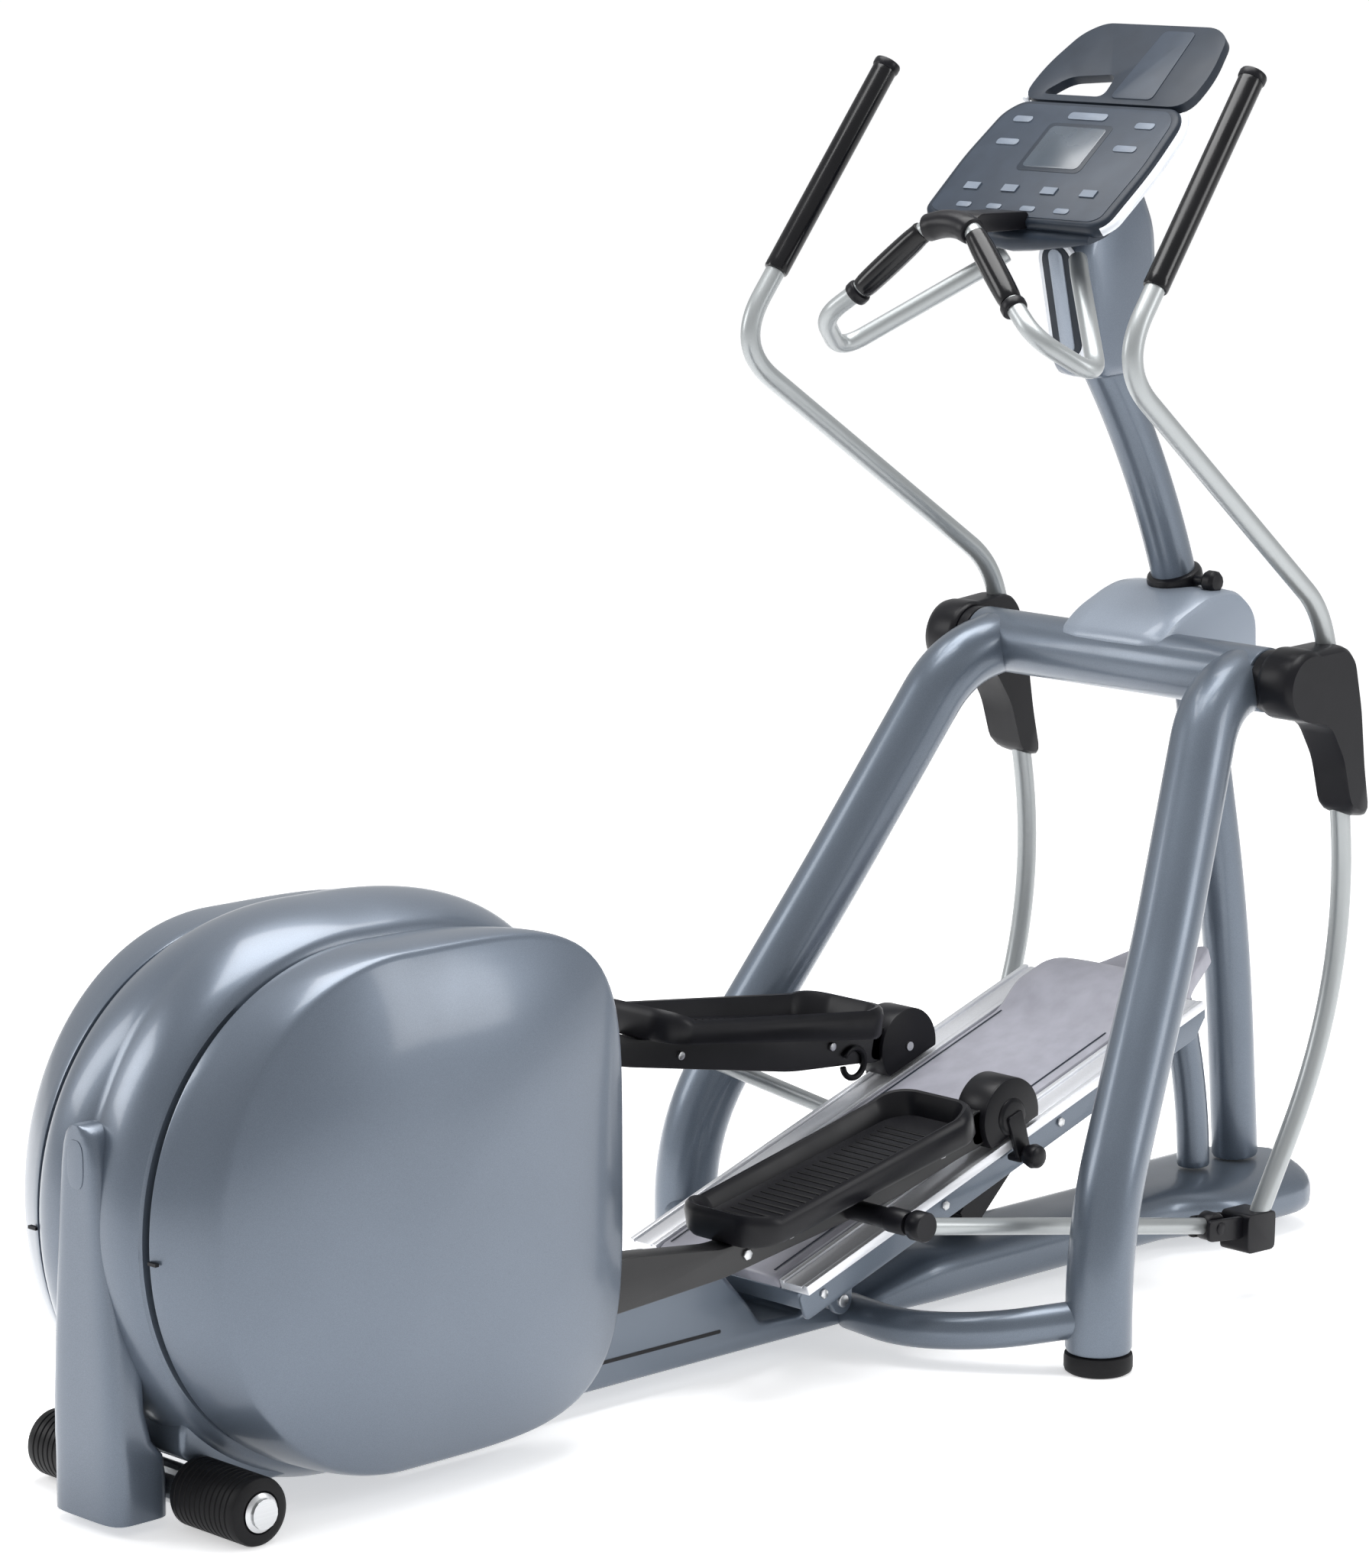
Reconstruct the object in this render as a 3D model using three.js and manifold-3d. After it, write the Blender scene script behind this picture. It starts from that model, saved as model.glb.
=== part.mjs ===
// Elliptical trainer with an inclining roller ramp.
// Millimetres, +X forward (the way the user faces), +Y to the user's left, +Z up.
// The machine is drawn with X = 0 at the drive axle, then shifted so that the origin
// is the middle of its footprint on the floor.
import * as THREE from 'three';
import Module from 'manifold-3d';
import { mergeVertices } from 'three/addons/utils/BufferGeometryUtils.js';

const wasm = await Module();
wasm.setup();

// ---------------------------------------------------------------- driving dimensions
const FIT_GAP = 0.4;                 // gap between faces that touch on the real machine
const AXLE_Z = 363;                  // height of the drive axle
const CRANK_RADIUS = 220;
const CRANK_LEAN = 15.8;             // degrees that the cranks lean from vertical at rest
const SHROUD_RADIUS = 326;           // side edges of the centre shroud
const SHROUD_CROWN = 36;             // rise of the shroud's middle over its side edges
const SHROUD_HALF = 98;              // half width of the centre shroud
const COVER_INNER = 108;             // where the outer covers begin
const COVER_CREASE = 190;            // where a cover's rim turns into its domed face
const COVER_OUTER = 248;
const COVER_WALL = 6;
const ARM_INNER = 124;               // pedal arm, from the centre plane
const ARM_OUTER = 162;
const ARM_LENGTH = 1163;             // crank pin to roller
const ROLLER_RADIUS = 32;
const ROLLER_AXLE_RADIUS = 6.5;
const RAMP_PIVOT = { x: 835, z: 75 };
const RAMP_ANGLE = 18.6;             // degrees at rest
const RAMP_TOP = 92;                 // track surface above the ramp pivot, square to the ramp
const RAMP_REAR = -104;
const RAMP_FRONT = 739;
const TRACK_INNER = 118;
const TRACK_OUTER = 170;
const ROLLER_MIDDLE = 369;           // roller station along the ramp at mid stride
const STRIDE_OFFSET = 52.7;          // left roller ahead of it, right roller behind it
const LEVER_PIVOT = { x: 1500, z: 857 };
const LEVER_SWING = 1.53;            // degrees that the levers stand off their middle
const LEVER_TUBE = 14;
const LINK_PIVOT = { x: -105, z: -748 };   // on the lever, from its own pivot
const LINK_LENGTH = 585;
const STUB = { u: -306, w: -38 };    // link stub on the pedal arm, from the roller
const PANEL_CORNER = { x: 1252, z: 1484 };
const PANEL_ANGLE = 39.5;
const PANEL_LENGTH = 238;
const KEY_TRAVEL_ROOM = 2.5;
const REAR_END = -356;
const FRONT_END = 1838;

const rad = THREE.MathUtils.degToRad;
const v3 = (x, y, z) => new THREE.Vector3(x, y, z);

// ---------------------------------------------------------------- materials
const material = (color, roughness, metalness) =>
  new THREE.MeshStandardMaterial({ color, roughness, metalness });
const PAINT = material(0x6a7688, 0.38, 0.45);
const PAINT_LIGHT = material(0x8b97a8, 0.4, 0.4);
const SILVER = material(0xaab0b3, 0.32, 0.8);
const STEEL = material(0x8d9092, 0.35, 0.9);
const IRON = material(0x4a4d50, 0.6, 0.7);
const RUBBER = material(0x111214, 0.85, 0);
const BLACK = material(0x17181a, 0.5, 0);
const SLATE = material(0x3a434f, 0.55, 0.1);
const RAMP_GREY = material(0xa5a5b0, 0.5, 0.1);
const KEY_GREY = material(0x9aa3ad, 0.5, 0);

// ---------------------------------------------------------------- geometry helpers
function signedVolume(geometry) {
  const p = geometry.attributes.position;
  const index = geometry.index;
  const count = index ? index.count : p.count;
  const at = (i) => v3().fromBufferAttribute(p, index ? index.getX(i) : i);
  let volume = 0;
  for (let i = 0; i < count; i += 3) volume += at(i).dot(at(i + 1).cross(at(i + 2)));
  return volume / 6;
}

// A clean closed mesh: only positions, shared vertices merged, faces pointing out.
function closed(geometry) {
  const bare = new THREE.BufferGeometry();
  bare.setAttribute('position', geometry.attributes.position.clone());
  if (geometry.index) bare.setIndex(geometry.index.clone());
  const merged = mergeVertices(bare, 1e-3);
  const kept = [];
  for (let i = 0; i < merged.index.count; i += 3) {
    const [a, b, c] = [0, 1, 2].map((k) => merged.index.getX(i + k));
    if (a !== b && b !== c && c !== a) kept.push(a, b, c);
  }
  merged.setIndex(kept);
  if (signedVolume(merged) < 0) {
    for (let i = 0; i < kept.length; i += 3) [kept[i], kept[i + 1]] = [kept[i + 1], kept[i]];
    merged.setIndex(kept);
  }
  return merged;
}

function toSolid(geometry) {
  const clean = closed(geometry);
  const mesh = new wasm.Mesh({
    numProp: 3,
    vertProperties: new Float32Array(clean.attributes.position.array),
    triVerts: new Uint32Array(clean.index.array),
  });
  return new wasm.Manifold(mesh);
}

function toGeometry(solid) {
  const mesh = solid.getMesh();
  const geometry = new THREE.BufferGeometry();
  geometry.setAttribute('position', new THREE.BufferAttribute(new Float32Array(mesh.vertProperties), 3));
  geometry.setIndex(new THREE.BufferAttribute(new Uint32Array(mesh.triVerts), 1));
  return geometry;
}

const join = (...parts) => toGeometry(parts.map(toSolid).reduce((a, b) => a.add(b)));
const cut = (base, ...tools) =>
  toGeometry(tools.map(toSolid).reduce((a, b) => a.subtract(b), toSolid(base)));
const common = (a, b) => toGeometry(toSolid(a).intersect(toSolid(b)));

function circle(radius, sides) {
  const points = [];
  for (let i = 0; i < sides; i++) {
    const a = (2 * Math.PI * (i + 0.5)) / sides;
    points.push(new THREE.Vector2(radius * Math.cos(a), radius * Math.sin(a)));
  }
  return new THREE.Shape(points);
}

// A path of straight runs whose corners are rounded off over the given distances.
function bentPath(points, cuts) {
  const path = new THREE.CurvePath();
  let start = points[0];
  for (let i = 1; i < points.length - 1; i++) {
    const corner = points[i];
    const toward = (other) =>
      corner.clone().add(other.clone().sub(corner).normalize().multiplyScalar(cuts[i - 1]));
    const before = toward(points[i - 1]);
    const after = toward(points[i + 1]);
    path.add(new THREE.LineCurve3(start, before));
    path.add(new THREE.QuadraticBezierCurve3(before, corner, after));
    start = after;
  }
  path.add(new THREE.LineCurve3(start, points[points.length - 1]));
  return path;
}

function sweep(path, shape, steps) {
  return new THREE.ExtrudeGeometry(shape, { steps, extrudePath: path, bevelEnabled: false });
}

const tube = (points, cuts, radius, steps, sides = 10) =>
  sweep(bentPath(points, cuts), circle(radius, sides), steps);
const straight = (a, b, radius, sides = 14) =>
  sweep(new THREE.LineCurve3(a, b), circle(radius, sides), 1);
const rodY = (radius, y0, y1, x, z, sides = 20) => straight(v3(x, y0, z), v3(x, y1, z), radius, sides);
const rodZ = (radius, z0, z1, x, y, sides = 16) => straight(v3(x, y, z0), v3(x, y, z1), radius, sides);

function block(x0, x1, y0, y1, z0, z1) {
  const box = new THREE.BoxGeometry(x1 - x0, y1 - y0, z1 - z0);
  return box.translate((x0 + x1) / 2, (y0 + y1) / 2, (z0 + z1) / 2);
}

// A side outline of [x, z] points, given thickness from y0 to y1.
function slab(outline, y0, y1) {
  const shape = new THREE.Shape(outline.map(([x, z]) => new THREE.Vector2(x, z)));
  const geometry = new THREE.ExtrudeGeometry(shape, { depth: y1 - y0, bevelEnabled: false });
  return geometry.rotateX(Math.PI / 2).translate(0, y1, 0);
}

// A plan outline of [x, y] points, raised from z0 to z1 with a rounded edge.
function plate(outline, z0, z1, bevel = 0) {
  const shape = new THREE.Shape(outline.map(([x, y]) => new THREE.Vector2(x, y)));
  const geometry = new THREE.ExtrudeGeometry(shape, {
    depth: z1 - z0 - 2 * bevel,
    bevelEnabled: bevel > 0,
    bevelThickness: bevel,
    bevelSize: bevel,
    bevelOffset: -bevel,
    bevelSegments: 2,
  });
  return geometry.translate(0, 0, z0 + bevel);
}

// Points of an arc about (cx, cz), angles in degrees.
function arc(cx, cz, radius, from, to, count) {
  const points = [];
  for (let i = 0; i <= count; i++) {
    const a = rad(from + ((to - from) * i) / count);
    points.push([cx + radius * Math.cos(a), cz + radius * Math.sin(a)]);
  }
  return points;
}

function roundedRectangle(x0, x1, y0, y1, r, count = 4) {
  return [
    ...arc(x1 - r, y0 + r, r, -90, 0, count),
    ...arc(x1 - r, y1 - r, r, 0, 90, count),
    ...arc(x0 + r, y1 - r, r, 90, 180, count),
    ...arc(x0 + r, y0 + r, r, 180, 270, count),
  ];
}

// ---------------------------------------------------------------- the assembly
const trainer = new THREE.Group();
const machine = new THREE.Group();
machine.position.x = -(REAR_END + FRONT_END) / 2;
trainer.add(machine);

function add(name, geometry, mat, parent = machine) {
  const mesh = new THREE.Mesh(closed(geometry), mat);
  mesh.name = name;
  parent.add(mesh);
  return mesh;
}

const SIDES = [['left', 1], ['right', -1]];
const sided = (geometry, side) => (side > 0 ? geometry : closed(geometry.clone().scale(1, -1, 1)));

function groupAt(x, z, turn = 0, parent = machine) {
  const group = new THREE.Group();
  group.position.set(x, 0, z);
  group.rotation.y = rad(turn);
  parent.add(group);
  return group;
}

// ---------------------------------------------------------------- housing
// The outline is round behind the axle and a squarer curve in front of it. Towards the crease of
// each outer cover it draws in at the back and gets squarer still at the front.
function outlineScale(cos, sin, y) {
  const flare = Math.min(1, Math.max(0, (Math.abs(y) - SHROUD_HALF) / (COVER_CREASE - SHROUD_HALF)));
  const crown = Math.max(0, 1 - Math.abs(y) / SHROUD_HALF);
  const rearReach = 1.03 - 0.13 * flare - 0.077 * crown;
  const frontReach = 1.1 + 0.015 * flare;
  const power = cos > 0 ? 3 + 1.4 * flare : 2.05;
  const reach = cos > 0 ? frontReach : rearReach;
  return (Math.abs(cos / reach) ** power + Math.abs(sin) ** power) ** (-1 / power);
}

function housingRing(profile, segments = 40) {
  const points = profile.map(([r, y]) => new THREE.Vector2(r, y));
  const geometry = new THREE.LatheGeometry(points, segments);
  const p = geometry.attributes.position;
  for (let i = 0; i < p.count; i++) {
    const r = Math.hypot(p.getX(i), p.getZ(i));
    if (r < 1e-6) continue;
    const k = outlineScale(p.getX(i) / r, p.getZ(i) / r, p.getY(i));
    p.setXYZ(i, p.getX(i) * k, p.getY(i), p.getZ(i) * k);
  }
  return geometry.translate(0, 0, AXLE_Z);
}

function shroudProfile(inset) {
  const half = SHROUD_HALF - inset;
  const edge = SHROUD_RADIUS - inset;
  const rises = [[0, 1], [18, 0.8], [29, 0.5], [SHROUD_CROWN, 0]];
  const right = rises.map(([rise, share]) => [edge + rise, -half * share]);
  const left = rises.slice(0, -1).reverse().map(([rise, share]) => [edge + rise, half * share]);
  return [[0, -half], ...right, ...left, [0, half]];
}

const SPINE_HALF = 76;
const centreShroud = cut(
  housingRing(shroudProfile(0)),
  housingRing(shroudProfile(COVER_WALL)),
  block(-500, 500, -SPINE_HALF - 4, SPINE_HALF + 4, -20, 176),
  block(-76, 76, -200, 200, -20, 64),
  rodY(24, -150, 150, 0, AXLE_Z, 20),
);
add('centre_shroud', centreShroud, PAINT);

// Half of a cup: outer skin from the rim to the flat face, then back along the inside.
const coverSkin = [
  [328, COVER_INNER], [329, 150], [326, 178], [320, COVER_CREASE],
  [286, 207], [218, 226], [120, 240], [0, COVER_OUTER],
];
const coverLining = [
  [322, COVER_INNER], [322, 150], [308, 186], [214, 218], [0, COVER_OUTER - COVER_WALL],
];
const coverProfile = [...[...coverSkin].reverse(), ...coverLining];
const coverSolid = cut(
  housingRing(coverProfile),
  block(180, 500, COVER_INNER - 8, 170, 92, 660),
);
for (const [name, side] of SIDES) add(`outer_cover_${name}`, sided(coverSolid, side), PAINT);

// ---------------------------------------------------------------- base frame
const REAR_AXLE = { x: -245, z: 43 };
const WHEEL_RADIUS = 43;
const WHEEL_INNER = 78;
const WHEEL_OUTER = 204;
const PIVOT_PIN = 9;
const spineOutline = [
  [-262, 84], [-262, 128], [-215, 150], [275, 150], [400, 171], [640, 150],
  [700, 84], [716, 62], [795, 58],
  ...arc(RAMP_PIVOT.x, RAMP_PIVOT.z, 28, 150, -20, 8),
  [900, 58], [929, 52], [929, 28], [380, 28], [-150, 28],
];
const coverFeet = [1, -1].map((side) =>
  block(-70, 70, side > 0 ? SPINE_HALF - 4 : -145, side > 0 ? 145 : -SPINE_HALF + 4, 52, 62));
const spine = cut(
  join(slab(spineOutline, -SPINE_HALF, SPINE_HALF), ...coverFeet,
    rodY(PIVOT_PIN, -112, 112, RAMP_PIVOT.x, RAMP_PIVOT.z, 16)),
  rodY(25 + FIT_GAP, -200, 200, REAR_AXLE.x, REAR_AXLE.z, 20),
);
add('spine_beam', spine, PAINT);

const rearAxleBar = join(
  rodY(25, -66, 66, REAR_AXLE.x, REAR_AXLE.z, 20),
  rodY(12, -212, 212, REAR_AXLE.x, REAR_AXLE.z, 16),
  rodY(19, 206, 212, REAR_AXLE.x, REAR_AXLE.z, 16),
  rodY(19, -212, -206, REAR_AXLE.x, REAR_AXLE.z, 16),
);
add('rear_axle_bar', rearAxleBar, STEEL);

const wheel = cut(
  rodY(WHEEL_RADIUS, WHEEL_INNER, WHEEL_OUTER, REAR_AXLE.x, REAR_AXLE.z, 28),
  rodY(12.5, 0, 300, REAR_AXLE.x, REAR_AXLE.z, 16),
);
for (const [name, side] of SIDES) add(`transport_wheel_${name}`, sided(wheel, side), RUBBER);

const postFace = [[-36, 486], [-60, 320], [-66, 14], [66, 14], [60, 320], [36, 486], [0, 500]];
const postBlock = new THREE.ExtrudeGeometry(
  new THREE.Shape(postFace.map(([y, z]) => new THREE.Vector2(y, z))),
  { depth: 100, bevelEnabled: false },
);
postBlock.rotateX(Math.PI / 2).rotateZ(Math.PI / 2).translate(REAR_END, 0, 0);
const rearPost = cut(
  postBlock,
  housingRing(shroudProfile(-FIT_GAP)),
  block(-263, 0, -200, 200, 80, 600),
  rodY(25 + FIT_GAP, -200, 200, REAR_AXLE.x, REAR_AXLE.z, 20),
);
add('rear_post_cover', rearPost, PAINT_LIGHT);

const beamPlan = [
  [930, -58], [1040, -78], [1530, -78], [1630, -122], [1760, -122], [1818, -92], [FRONT_END, -40],
  [FRONT_END, 40], [1818, 92], [1760, 122], [1630, 122], [1530, 78], [1040, 78], [930, 58],
];
const beamSide = [[920, 10], [920, 46], [1070, 92], [1850, 92], [1850, 10]];
const frontBeam = join(
  common(plate(beamPlan, 12, 90, 22), slab(beamSide, -200, 200)),
  rodZ(24, 0, 40, 1700, 74),
  rodZ(24, 0, 40, 1700, -74),
);
add('front_beam', frontBeam, PAINT);

const LEG_RADIUS = 44.5;
const LEG_FOOT = v3(1027, 395, 0);
const footCap = rodZ(46, 0, 26, LEG_FOOT.x, LEG_FOOT.y, 20);
const legPath = [
  v3(1027, 395, 26.4), v3(1027, 395, 195), v3(1240, 315, 540), v3(1405, 243, 835), v3(1494, 230, 857),
];
const CROSSBAR_RADIUS = 45;
const CROSSBAR_HALF = 266;
const STUB_SHAFT = 16;
const crossbarSolid = join(
  rodY(CROSSBAR_RADIUS, -CROSSBAR_HALF, CROSSBAR_HALF, LEVER_PIVOT.x, LEVER_PIVOT.z, 20),
  rodY(STUB_SHAFT, -336, 336, LEVER_PIVOT.x, LEVER_PIVOT.z, 16),
);
add('crossbar', crossbarSolid, PAINT);

const leg = cut(
  tube(legPath, [110, 60, 60], LEG_RADIUS, 22, 12),
  rodY(CROSSBAR_RADIUS + FIT_GAP, 0, 400, LEVER_PIVOT.x, LEVER_PIVOT.z, 20),
  block(LEVER_PIVOT.x, 1700, 0, 400, 700, 1000),
);
const forkArm = cut(
  tube([v3(886, 82, 44), v3(866, 190, 46), v3(925, 292, 52), v3(1012, 388, 74)], [70, 60], 25, 14, 12),
  rodZ(LEG_RADIUS + FIT_GAP + 0.6, -20, 200, LEG_FOOT.x, LEG_FOOT.y, 12),
);
for (const [name, side] of SIDES) {
  add(`leg_${name}`, sided(leg, side), PAINT);
  add(`leg_foot_${name}`, sided(footCap, side), RUBBER);
  add(`fork_arm_${name}`, sided(forkArm, side), PAINT);
}

// ---------------------------------------------------------------- front post, column, console
const POST_RADIUS = 34;
const COLUMN_RADIUS = 31;
const postPath = [v3(1760, 0, 93.5), v3(1733, 0, 440), v3(1652, 0, 838)];
add('front_post', tube(postPath, [120], POST_RADIUS, 14, 14), PAINT);

const columnPath = [v3(1645, 0, 853), v3(1550, 0, 1120), v3(1434, 0, 1300)];
const columnRoom = [v3(1645.3, 0, 852.2), v3(1550, 0, 1120), v3(1433.4, 0, 1300.9)];
const column = tube(columnPath, [130], COLUMN_RADIUS, 12, 14);
add('column', column, PAINT_LIGHT);

const saddleOutline = [
  [1462, 893], [1505, 922], [1572, 950], [1640, 948], [1676, 915], [1680, 800], [1610, 785], [1548, 846],
];
const saddle = cut(
  slab(saddleOutline, -96, 96),
  rodY(CROSSBAR_RADIUS + FIT_GAP, -200, 200, LEVER_PIVOT.x, LEVER_PIVOT.z, 20),
  tube(postPath, [120], POST_RADIUS + FIT_GAP, 14, 14),
  tube(columnPath, [130], COLUMN_RADIUS + FIT_GAP, 12, 14),
  block(1560, 1690, -26, 26, 820, 875),
);
add('saddle_cover', saddle, PAINT_LIGHT);

// Arc-shaped post: its centre is the ramp pivot, so the ramp's nose fork runs along it.
const GUIDE_RADIUS = 833;
const GUIDE_TUBE = 24;
const guidePoints = arc(RAMP_PIVOT.x, RAMP_PIVOT.z, GUIDE_RADIUS, 1.4, 28, 9)
  .map(([x, z]) => v3(x, 0, z));
add('guide_post', sweep(new THREE.CatmullRomCurve3(guidePoints), circle(GUIDE_TUBE, 12), 12), PAINT);

const neckOutline = [[1396, 1262], [1472, 1262], [1512, 1392], [1506, 1470], [1460, 1560], [1352, 1452]];
const panel = new THREE.Group();
panel.position.set(PANEL_CORNER.x, 0, PANEL_CORNER.z);
panel.rotation.y = -rad(PANEL_ANGLE);
machine.add(panel);

// On the panel: local X runs up the slope, local Z is square to it.
const KEYS = [
  ['incline_down_key', 108], ['incline_up_key', 38],
  ['resistance_down_key', -34], ['resistance_up_key', -106],
];
const KEY = { at: 60, long: 26, deep: 13, top: 3, bottom: -5 };
const shellPlan = [
  [0, -150], [14, -168], [120, -172], [PANEL_LENGTH - 26, -164], [PANEL_LENGTH, -142],
  [PANEL_LENGTH, 142], [PANEL_LENGTH - 26, 164], [120, 172], [14, 168], [0, 150],
];
const chinWedge = common(
  slab([[4, -20], [10, -72], [150, -72], [190, -20]], -150, 150),
  new THREE.ExtrudeGeometry(
    new THREE.Shape(
      [[150, -20], [34, -72], [-34, -72], [-150, -20]].map(([y, z]) => new THREE.Vector2(y, z))),
    { depth: 300, bevelEnabled: false },
  ).rotateX(Math.PI / 2).rotateZ(Math.PI / 2).translate(-20, 0, 0),
);
const pockets = KEYS.map(([, y]) => block(
  KEY.at - KEY.deep / 2 - FIT_GAP, KEY.at + KEY.deep / 2 + FIT_GAP,
  y - KEY.long / 2 - FIT_GAP, y + KEY.long / 2 + FIT_GAP,
  KEY.bottom - KEY_TRAVEL_ROOM, 10));
const shell = cut(join(plate(shellPlan, -30, 0, 5), chinWedge), ...pockets);
add('console_shell', shell, SLATE, panel);
for (const [name, y] of KEYS) {
  add(name, block(KEY.at - KEY.deep / 2, KEY.at + KEY.deep / 2, y - KEY.long / 2, y + KEY.long / 2,
    KEY.bottom, KEY.top), KEY_GREY, panel);
}

const rackPlan = [
  [PANEL_LENGTH + FIT_GAP, -150], [PANEL_LENGTH + 70, -152],
  [PANEL_LENGTH + 142, -128], [PANEL_LENGTH + 162, -100],
  [PANEL_LENGTH + 162, 100], [PANEL_LENGTH + 142, 128],
  [PANEL_LENGTH + 70, 152], [PANEL_LENGTH + FIT_GAP, 150],
];
const rackWindow = [
  [PANEL_LENGTH + 14, 8], [PANEL_LENGTH + 56, 8], [PANEL_LENGTH + 50, 80], [PANEL_LENGTH + 14, 122],
];
add('reading_rack', cut(plate(rackPlan, -16, -2), plate(rackWindow, -40, 20)), SLATE, panel);

// Work in the panel's frame to trim the neck against the console's underside.
const toPanel = (geometry) => geometry.clone()
  .translate(-PANEL_CORNER.x, 0, -PANEL_CORNER.z).rotateY(rad(PANEL_ANGLE));
const neck = cut(
  toPanel(slab(neckOutline, -44, 44)),
  toPanel(tube(columnRoom, [130], COLUMN_RADIUS + 2 * FIT_GAP, 12, 14)),
  block(-200, 500, -300, 300, -72 - FIT_GAP, 300),
);
add('console_neck', neck, PAINT_LIGHT, panel);

const BAR_RADIUS = 12.5;
const halfBar = [
  v3(1322, 66, 1433), v3(1302, 88, 1413), v3(1172, 240, 1296), v3(1096, 196, 1350), v3(1114, 134, 1396),
  v3(1142, 34, 1486),
];
const wholeBar = [...halfBar, ...[...halfBar].reverse().map((p) => v3(p.x, -p.y, p.z))];
add('handlebar', tube(wholeBar, [14, 40, 34, 24, 22, 22, 24, 34, 40, 14], BAR_RADIUS, 66, 8), SILVER);

// ---------------------------------------------------------------- drive train
const FLYWHEEL = { x: 212, z: 336, radius: 96 };
const PULLEY_RADIUS = 150;
const SMALL_PULLEY = 25;
const AXLE_RADIUS = 14;
add('drive_axle', rodY(AXLE_RADIUS, -119, 119, 0, AXLE_Z), STEEL);
const pulley = cut(
  join(rodY(PULLEY_RADIUS, -11, 11, 0, AXLE_Z, 36), rodY(30, -30, 30, 0, AXLE_Z)),
  rodY(AXLE_RADIUS + FIT_GAP, -60, 60, 0, AXLE_Z),
  ...[0, 1, 2, 3, 4].map((i) => rodY(36, -60, 60,
    88 * Math.cos(rad(72 * i)), AXLE_Z + 88 * Math.sin(rad(72 * i)), 14)),
);
add('drive_pulley', pulley, BLACK);

const flywheel = join(
  rodY(FLYWHEEL.radius, 27, 52, FLYWHEEL.x, FLYWHEEL.z, 32),
  rodY(SMALL_PULLEY, -11, 27, FLYWHEEL.x, FLYWHEEL.z),
  rodY(8, -76, 76, FLYWHEEL.x, FLYWHEEL.z, 14),
);
add('flywheel', flywheel, IRON);
add('generator', cut(
  rodY(56, -56, -18, FLYWHEEL.x, FLYWHEEL.z, 24),
  rodY(9, -90, 0, FLYWHEEL.x, FLYWHEEL.z, 14),
), IRON);

// The belt is the stretched outline round both pulleys, less the same outline inside.
function beltOutline(extra) {
  const dx = FLYWHEEL.x;
  const dz = FLYWHEEL.z - AXLE_Z;
  const line = THREE.MathUtils.radToDeg(Math.atan2(dz, dx));
  const turn = Math.acos((PULLEY_RADIUS - SMALL_PULLEY) / Math.hypot(dx, dz));
  const spread = THREE.MathUtils.radToDeg(turn);
  return [
    ...arc(0, AXLE_Z, PULLEY_RADIUS + extra, line + spread, line + 360 - spread, 28),
    ...arc(FLYWHEEL.x, FLYWHEEL.z, SMALL_PULLEY + extra, line - spread, line + spread, 8),
  ];
}
add('drive_belt', cut(slab(beltOutline(5.2), -9, 9), slab(beltOutline(1.2), -20, 20)), RUBBER);

const standPlate = [
  [-70, 150.5], [-34, 350], ...arc(0, AXLE_Z, 36, 170, 40, 5),
  [190, 372], [236, 352], [250, 300], [270, 150.5],
];
const stand = cut(
  join(slab(standPlate, 61, 68), slab(standPlate, -68, -61), block(-70, 270, -68, 68, 150.5, 157)),
  rodY(AXLE_RADIUS + FIT_GAP, -90, 90, 0, AXLE_Z),
  rodY(8 + FIT_GAP, -90, 90, FLYWHEEL.x, FLYWHEEL.z, 14),
);
add('axle_stand', stand, IRON);

// ---------------------------------------------------------------- cranks
const crankOutline = [...arc(0, 0, 32, 200, 340, 6), ...arc(0, CRANK_RADIUS, 23, 0, 180, 6)];
const crankBar = cut(
  join(slab(crankOutline, 102, 116), rodY(10, 115, 121, 0, CRANK_RADIUS, 14)),
  rodY(AXLE_RADIUS + FIT_GAP, 90, 130, 0, 0),
);
for (const [name, side] of SIDES) {
  const turn = side > 0 ? CRANK_LEAN : CRANK_LEAN + 180;
  add(`crank_${name}`, sided(crankBar, side), STEEL, groupAt(0, AXLE_Z, turn));
}

// ---------------------------------------------------------------- ramp
// On the ramp: local X runs up the slope from the pivot, local Z is square to it.
const ramp = groupAt(RAMP_PIVOT.x, RAMP_PIVOT.z, -RAMP_ANGLE);
const NOSE_GAP = GUIDE_TUBE + 3;
const LUG = { inner: 98, outer: 108, radius: 19 };
const lift = { s: 560, t: 32 };
function hingeLug(y0, y1) {
  const outline = [...arc(0, 0, LUG.radius, 190, 350, 6), [42, 60], [-42, 60]];
  return slab(outline, y0, y1);
}
const liftLugFace = [...arc(lift.s, lift.t, 14, 180, 360, 6), [lift.s + 14, 60], [lift.s - 14, 60]];
const liftLug = (y0, y1) => slab(liftLugFace, y0, y1);
const tray = cut(
  join(
    block(RAMP_REAR, RAMP_FRONT, -150, 150, 52, 80),
    block(RAMP_REAR, RAMP_FRONT, 145, 150, 36, 60), block(RAMP_REAR, RAMP_FRONT, -150, -145, 36, 60),
    hingeLug(LUG.inner, LUG.outer), hingeLug(-LUG.outer, -LUG.inner),
    liftLug(14, 22), liftLug(-22, -14),
    plate([[RAMP_FRONT - 4, -116], [GUIDE_RADIUS + 44, -NOSE_GAP - 20], [GUIDE_RADIUS + 44, NOSE_GAP + 20],
      [RAMP_FRONT - 4, 116]], 54, 78),
  ),
  block(GUIDE_RADIUS - 34, GUIDE_RADIUS + 80, -NOSE_GAP, NOSE_GAP, 0, 200),
  rodY(PIVOT_PIN + FIT_GAP, -150, 150, 0, 0, 16),
);
add('ramp_tray', tray, PAINT_LIGHT, ramp);

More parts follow.
